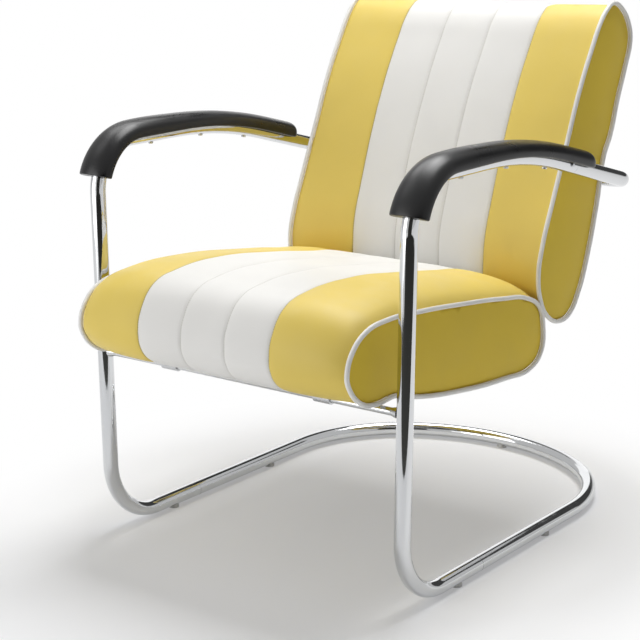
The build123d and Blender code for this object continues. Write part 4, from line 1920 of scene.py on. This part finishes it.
@dataclass
class Studio:
    """The floor, the lamps, the surroundings and the camera."""

    camera_place: Place = (1.62864, -2.24051, 1.05659)
    yaw: float = math.radians(37.81)
    pitch: float = math.radians(14.59)
    roll: float = math.radians(-0.74)
    lens: float = 97.31
    sensor: float = 36.0
    view_end: float = 100.0
    ambient: float = 0.25
    gloss_light: float = 0.62
    floor_half_size: float = 30.0
    floor_gloss: float = 0.75
    fade_run: Point = (-0.05, 1.0)
    fade_near: Point = (-0.75, -0.2)
    fade_far: Point = (0.45, 1.3)
    fade_round: Point = (1.5, 2.6)
    fade_beside: Point = (0.37, 0.70)
    floor_lift: float = 0.21
    floor_near: Colour = (0.92, 0.925, 0.94)
    floor_far: Colour = (0.965, 0.97, 0.985)
    lamps: tuple[Lamp, ...] = (
        Lamp("key", (-1.4, -2.75, 0.95), (0.0, 0.0, 0.4), 2.2, 29.5),
        Lamp("low_fill", (-0.6, -2.1, 0.35), (0.0, -0.4, 0.36), 1.2, 3.0),
        Lamp("pad_lamp", (-1.6, -0.95, 2.7), (0.0, -0.2, 0.5), 1.1, 5.0),
        Lamp("top", (0.0, 0.66, 2.9), (0.0, 0.1, 0.3), 1.5, 59.0),
    )
    card_foot: Place = (0.29, -0.34, 0.0)
    floor_card_run: float = 2.35
    floor_card_height: float = 0.002
    camera_card_run: float = 4.1
    camera_card_height: float = 1.2

    def cards(self) -> tuple[Card, ...]:
        """Set out the cards: two towards the camera, four behind the chair.

        Returns:
            The cards.
        """
        ahead = Vector((math.sin(self.yaw), -math.cos(self.yaw), 0.0))
        foot = Vector(self.card_foot)
        near = foot + ahead * self.floor_card_run + Vector((0.0, 0.0, self.floor_card_height))
        far = foot + ahead * self.camera_card_run + Vector((0.0, 0.0, self.camera_card_height))
        flat = Matrix.Rotation(self.yaw, 4, "Z")
        return (
            Card("floor_flag", near, flat, (4.6, 3.5)),
            Card("camera_flag", far, facing(*-ahead), (3.6, 2.4)),
            Card("back_flag", (0.9, 5.0, 2.2), facing(0.0, -1.0, -0.25), (4.8, 2.7), 0.06),
            Card("high_flag", (-1.4, 2.9, 3.1), facing(0.36, -0.6, -0.6), (2.6, 1.7)),
            Card("rear_card", (-3.6, 4.6, 1.7), facing(0.62, -0.78, -0.1), (5.0, 2.8), 1.25),
            Card("pad_card", (-1.2, 0.9, 2.9), facing(0.35, -0.3, -1.0), (2.2, 1.2), 5.0),
        )

    def camera(self) -> None:
        """Set the camera at the photograph's place and angle."""
        data = bpy.data.cameras.new("camera")
        data.lens = self.lens
        data.sensor_width = self.sensor
        data.clip_end = self.view_end
        made = add_object("camera", data)
        level = Vector((-math.sin(self.yaw), math.cos(self.yaw), 0.0)) * math.cos(self.pitch)
        forward = level - Vector((0.0, 0.0, math.sin(self.pitch)))
        right = forward.cross(Vector((0.0, 0.0, 1.0))).normalized()
        up = right.cross(forward)
        turned_right = right * math.cos(self.roll) + up * math.sin(self.roll)
        turned_up = up * math.cos(self.roll) - right * math.sin(self.roll)
        axes = Matrix((turned_right, turned_up, -forward)).transposed().to_4x4()
        made.matrix_world = Matrix.Translation(self.camera_place) @ axes
        bpy.context.scene.camera = made

    def surroundings(self) -> None:
        """Set the world: white to the camera, softer in gloss and softest as light."""
        world = bpy.data.worlds.new("studio")
        world.use_nodes = True
        world.node_tree.nodes.clear()
        graph = Graph(world.node_tree)
        path = graph.node("ShaderNodeLightPath").outputs
        seen = graph.math("MAXIMUM", path["Is Camera Ray"], path["Is Transmission Ray"])
        gloss = graph.math("MULTIPLY", path["Is Glossy Ray"], self.gloss_light)
        light = graph.node("ShaderNodeBackground")
        light.inputs["Color"].default_value = (1.0, 1.0, 1.0, 1.0)
        strength = graph.math("MAXIMUM", graph.math("MAXIMUM", seen, gloss), self.ambient)
        graph.link(strength, light.inputs["Strength"])
        graph.show(light.outputs[0], "World")
        bpy.context.scene.world = world

    def floor_fade(
        self, graph: Graph, place: bpy.types.NodeSocket
    ) -> tuple[bpy.types.NodeSocket, bpy.types.NodeSocket]:
        """Work out how the floor pales into the distance.

        Args:
            graph: The floor's graph.
            place: Its coordinates.

        Returns:
            The share of the far tone, and the share of plain white.
        """
        axes = graph.split(place)
        away = graph.math("MULTIPLY", axes["X"], self.fade_run[0])
        away = graph.math("MULTIPLY_ADD", axes["Y"], self.fade_run[1], away)
        tone = graph.remap(away, self.fade_near)
        far = graph.remap(away, self.fade_far)
        reach = graph.node("ShaderNodeVectorMath", operation="LENGTH")
        graph.link(place, reach.inputs[0])
        distant = graph.remap(reach.outputs["Value"], self.fade_round)
        beside = graph.remap(reach.outputs["Value"], self.fade_beside)
        for white in (distant, graph.math("MULTIPLY", beside, tone), self.floor_lift):
            far = graph.math("MAXIMUM", far, white)
        return tone, far

    def floor(self) -> None:
        """Lay the pale floor, which fades to white in the distance and keeps the shadow."""
        made = stage_sheet("floor", self.floor_half_size, Matrix.Identity(4))
        material, graph = blank_material("pale_floor")
        tone, white = self.floor_fade(graph, graph.coordinates())
        shade = graph.node("ShaderNodeBsdfDiffuse")
        colour = graph.mix_colour(tone, self.floor_near, self.floor_far)
        graph.link(colour, shade.inputs["Color"])
        path = graph.node("ShaderNodeLightPath").outputs
        gloss = graph.math("MULTIPLY", path["Is Glossy Ray"], self.floor_gloss)
        seen = graph.math("MAXIMUM", path["Is Camera Ray"], gloss)
        both = graph.node("ShaderNodeMixShader")
        graph.link(graph.math("MULTIPLY", white, seen), both.inputs[0])
        graph.link(shade.outputs[0], both.inputs[1])
        graph.link(graph.node("ShaderNodeEmission").outputs[0], both.inputs[2])
        graph.show(both.outputs[0])
        made.data.materials.append(material)

    def build(self) -> None:
        """Build the studio."""
        bpy.context.scene.view_settings.view_transform = "Standard"
        self.camera()
        self.surroundings()
        self.floor()
        for lamp in self.lamps:
            lamp.hang()
        for card in self.cards():
            card.stand()


def dress_frame(shop: Workshop) -> None:
    """Give the solid nodes that stay in view their materials.

    Args:
        shop: Where the materials are.
    """
    slots = {entry["node"]: Slot(entry["material_slot"]) for entry in frame["record"]["subparts"]}
    for name in frame["nodes"]:
        shop.dress_node(name, slots[name])


def main() -> None:
    """Build the chair's looks, part by part."""
    logging.basicConfig(level=logging.INFO, format="%(message)s")
    shop = Workshop()
    dress_frame(shop)
    tubes = TubeFrame()
    tubes.build(shop)
    for side in Side:
        ArmPad(tubes, side).build(shop)
    seat_cushion().build(shop)
    back_cushion().build(shop)
    Studio().build()


if __name__ == "__main__":
    main()
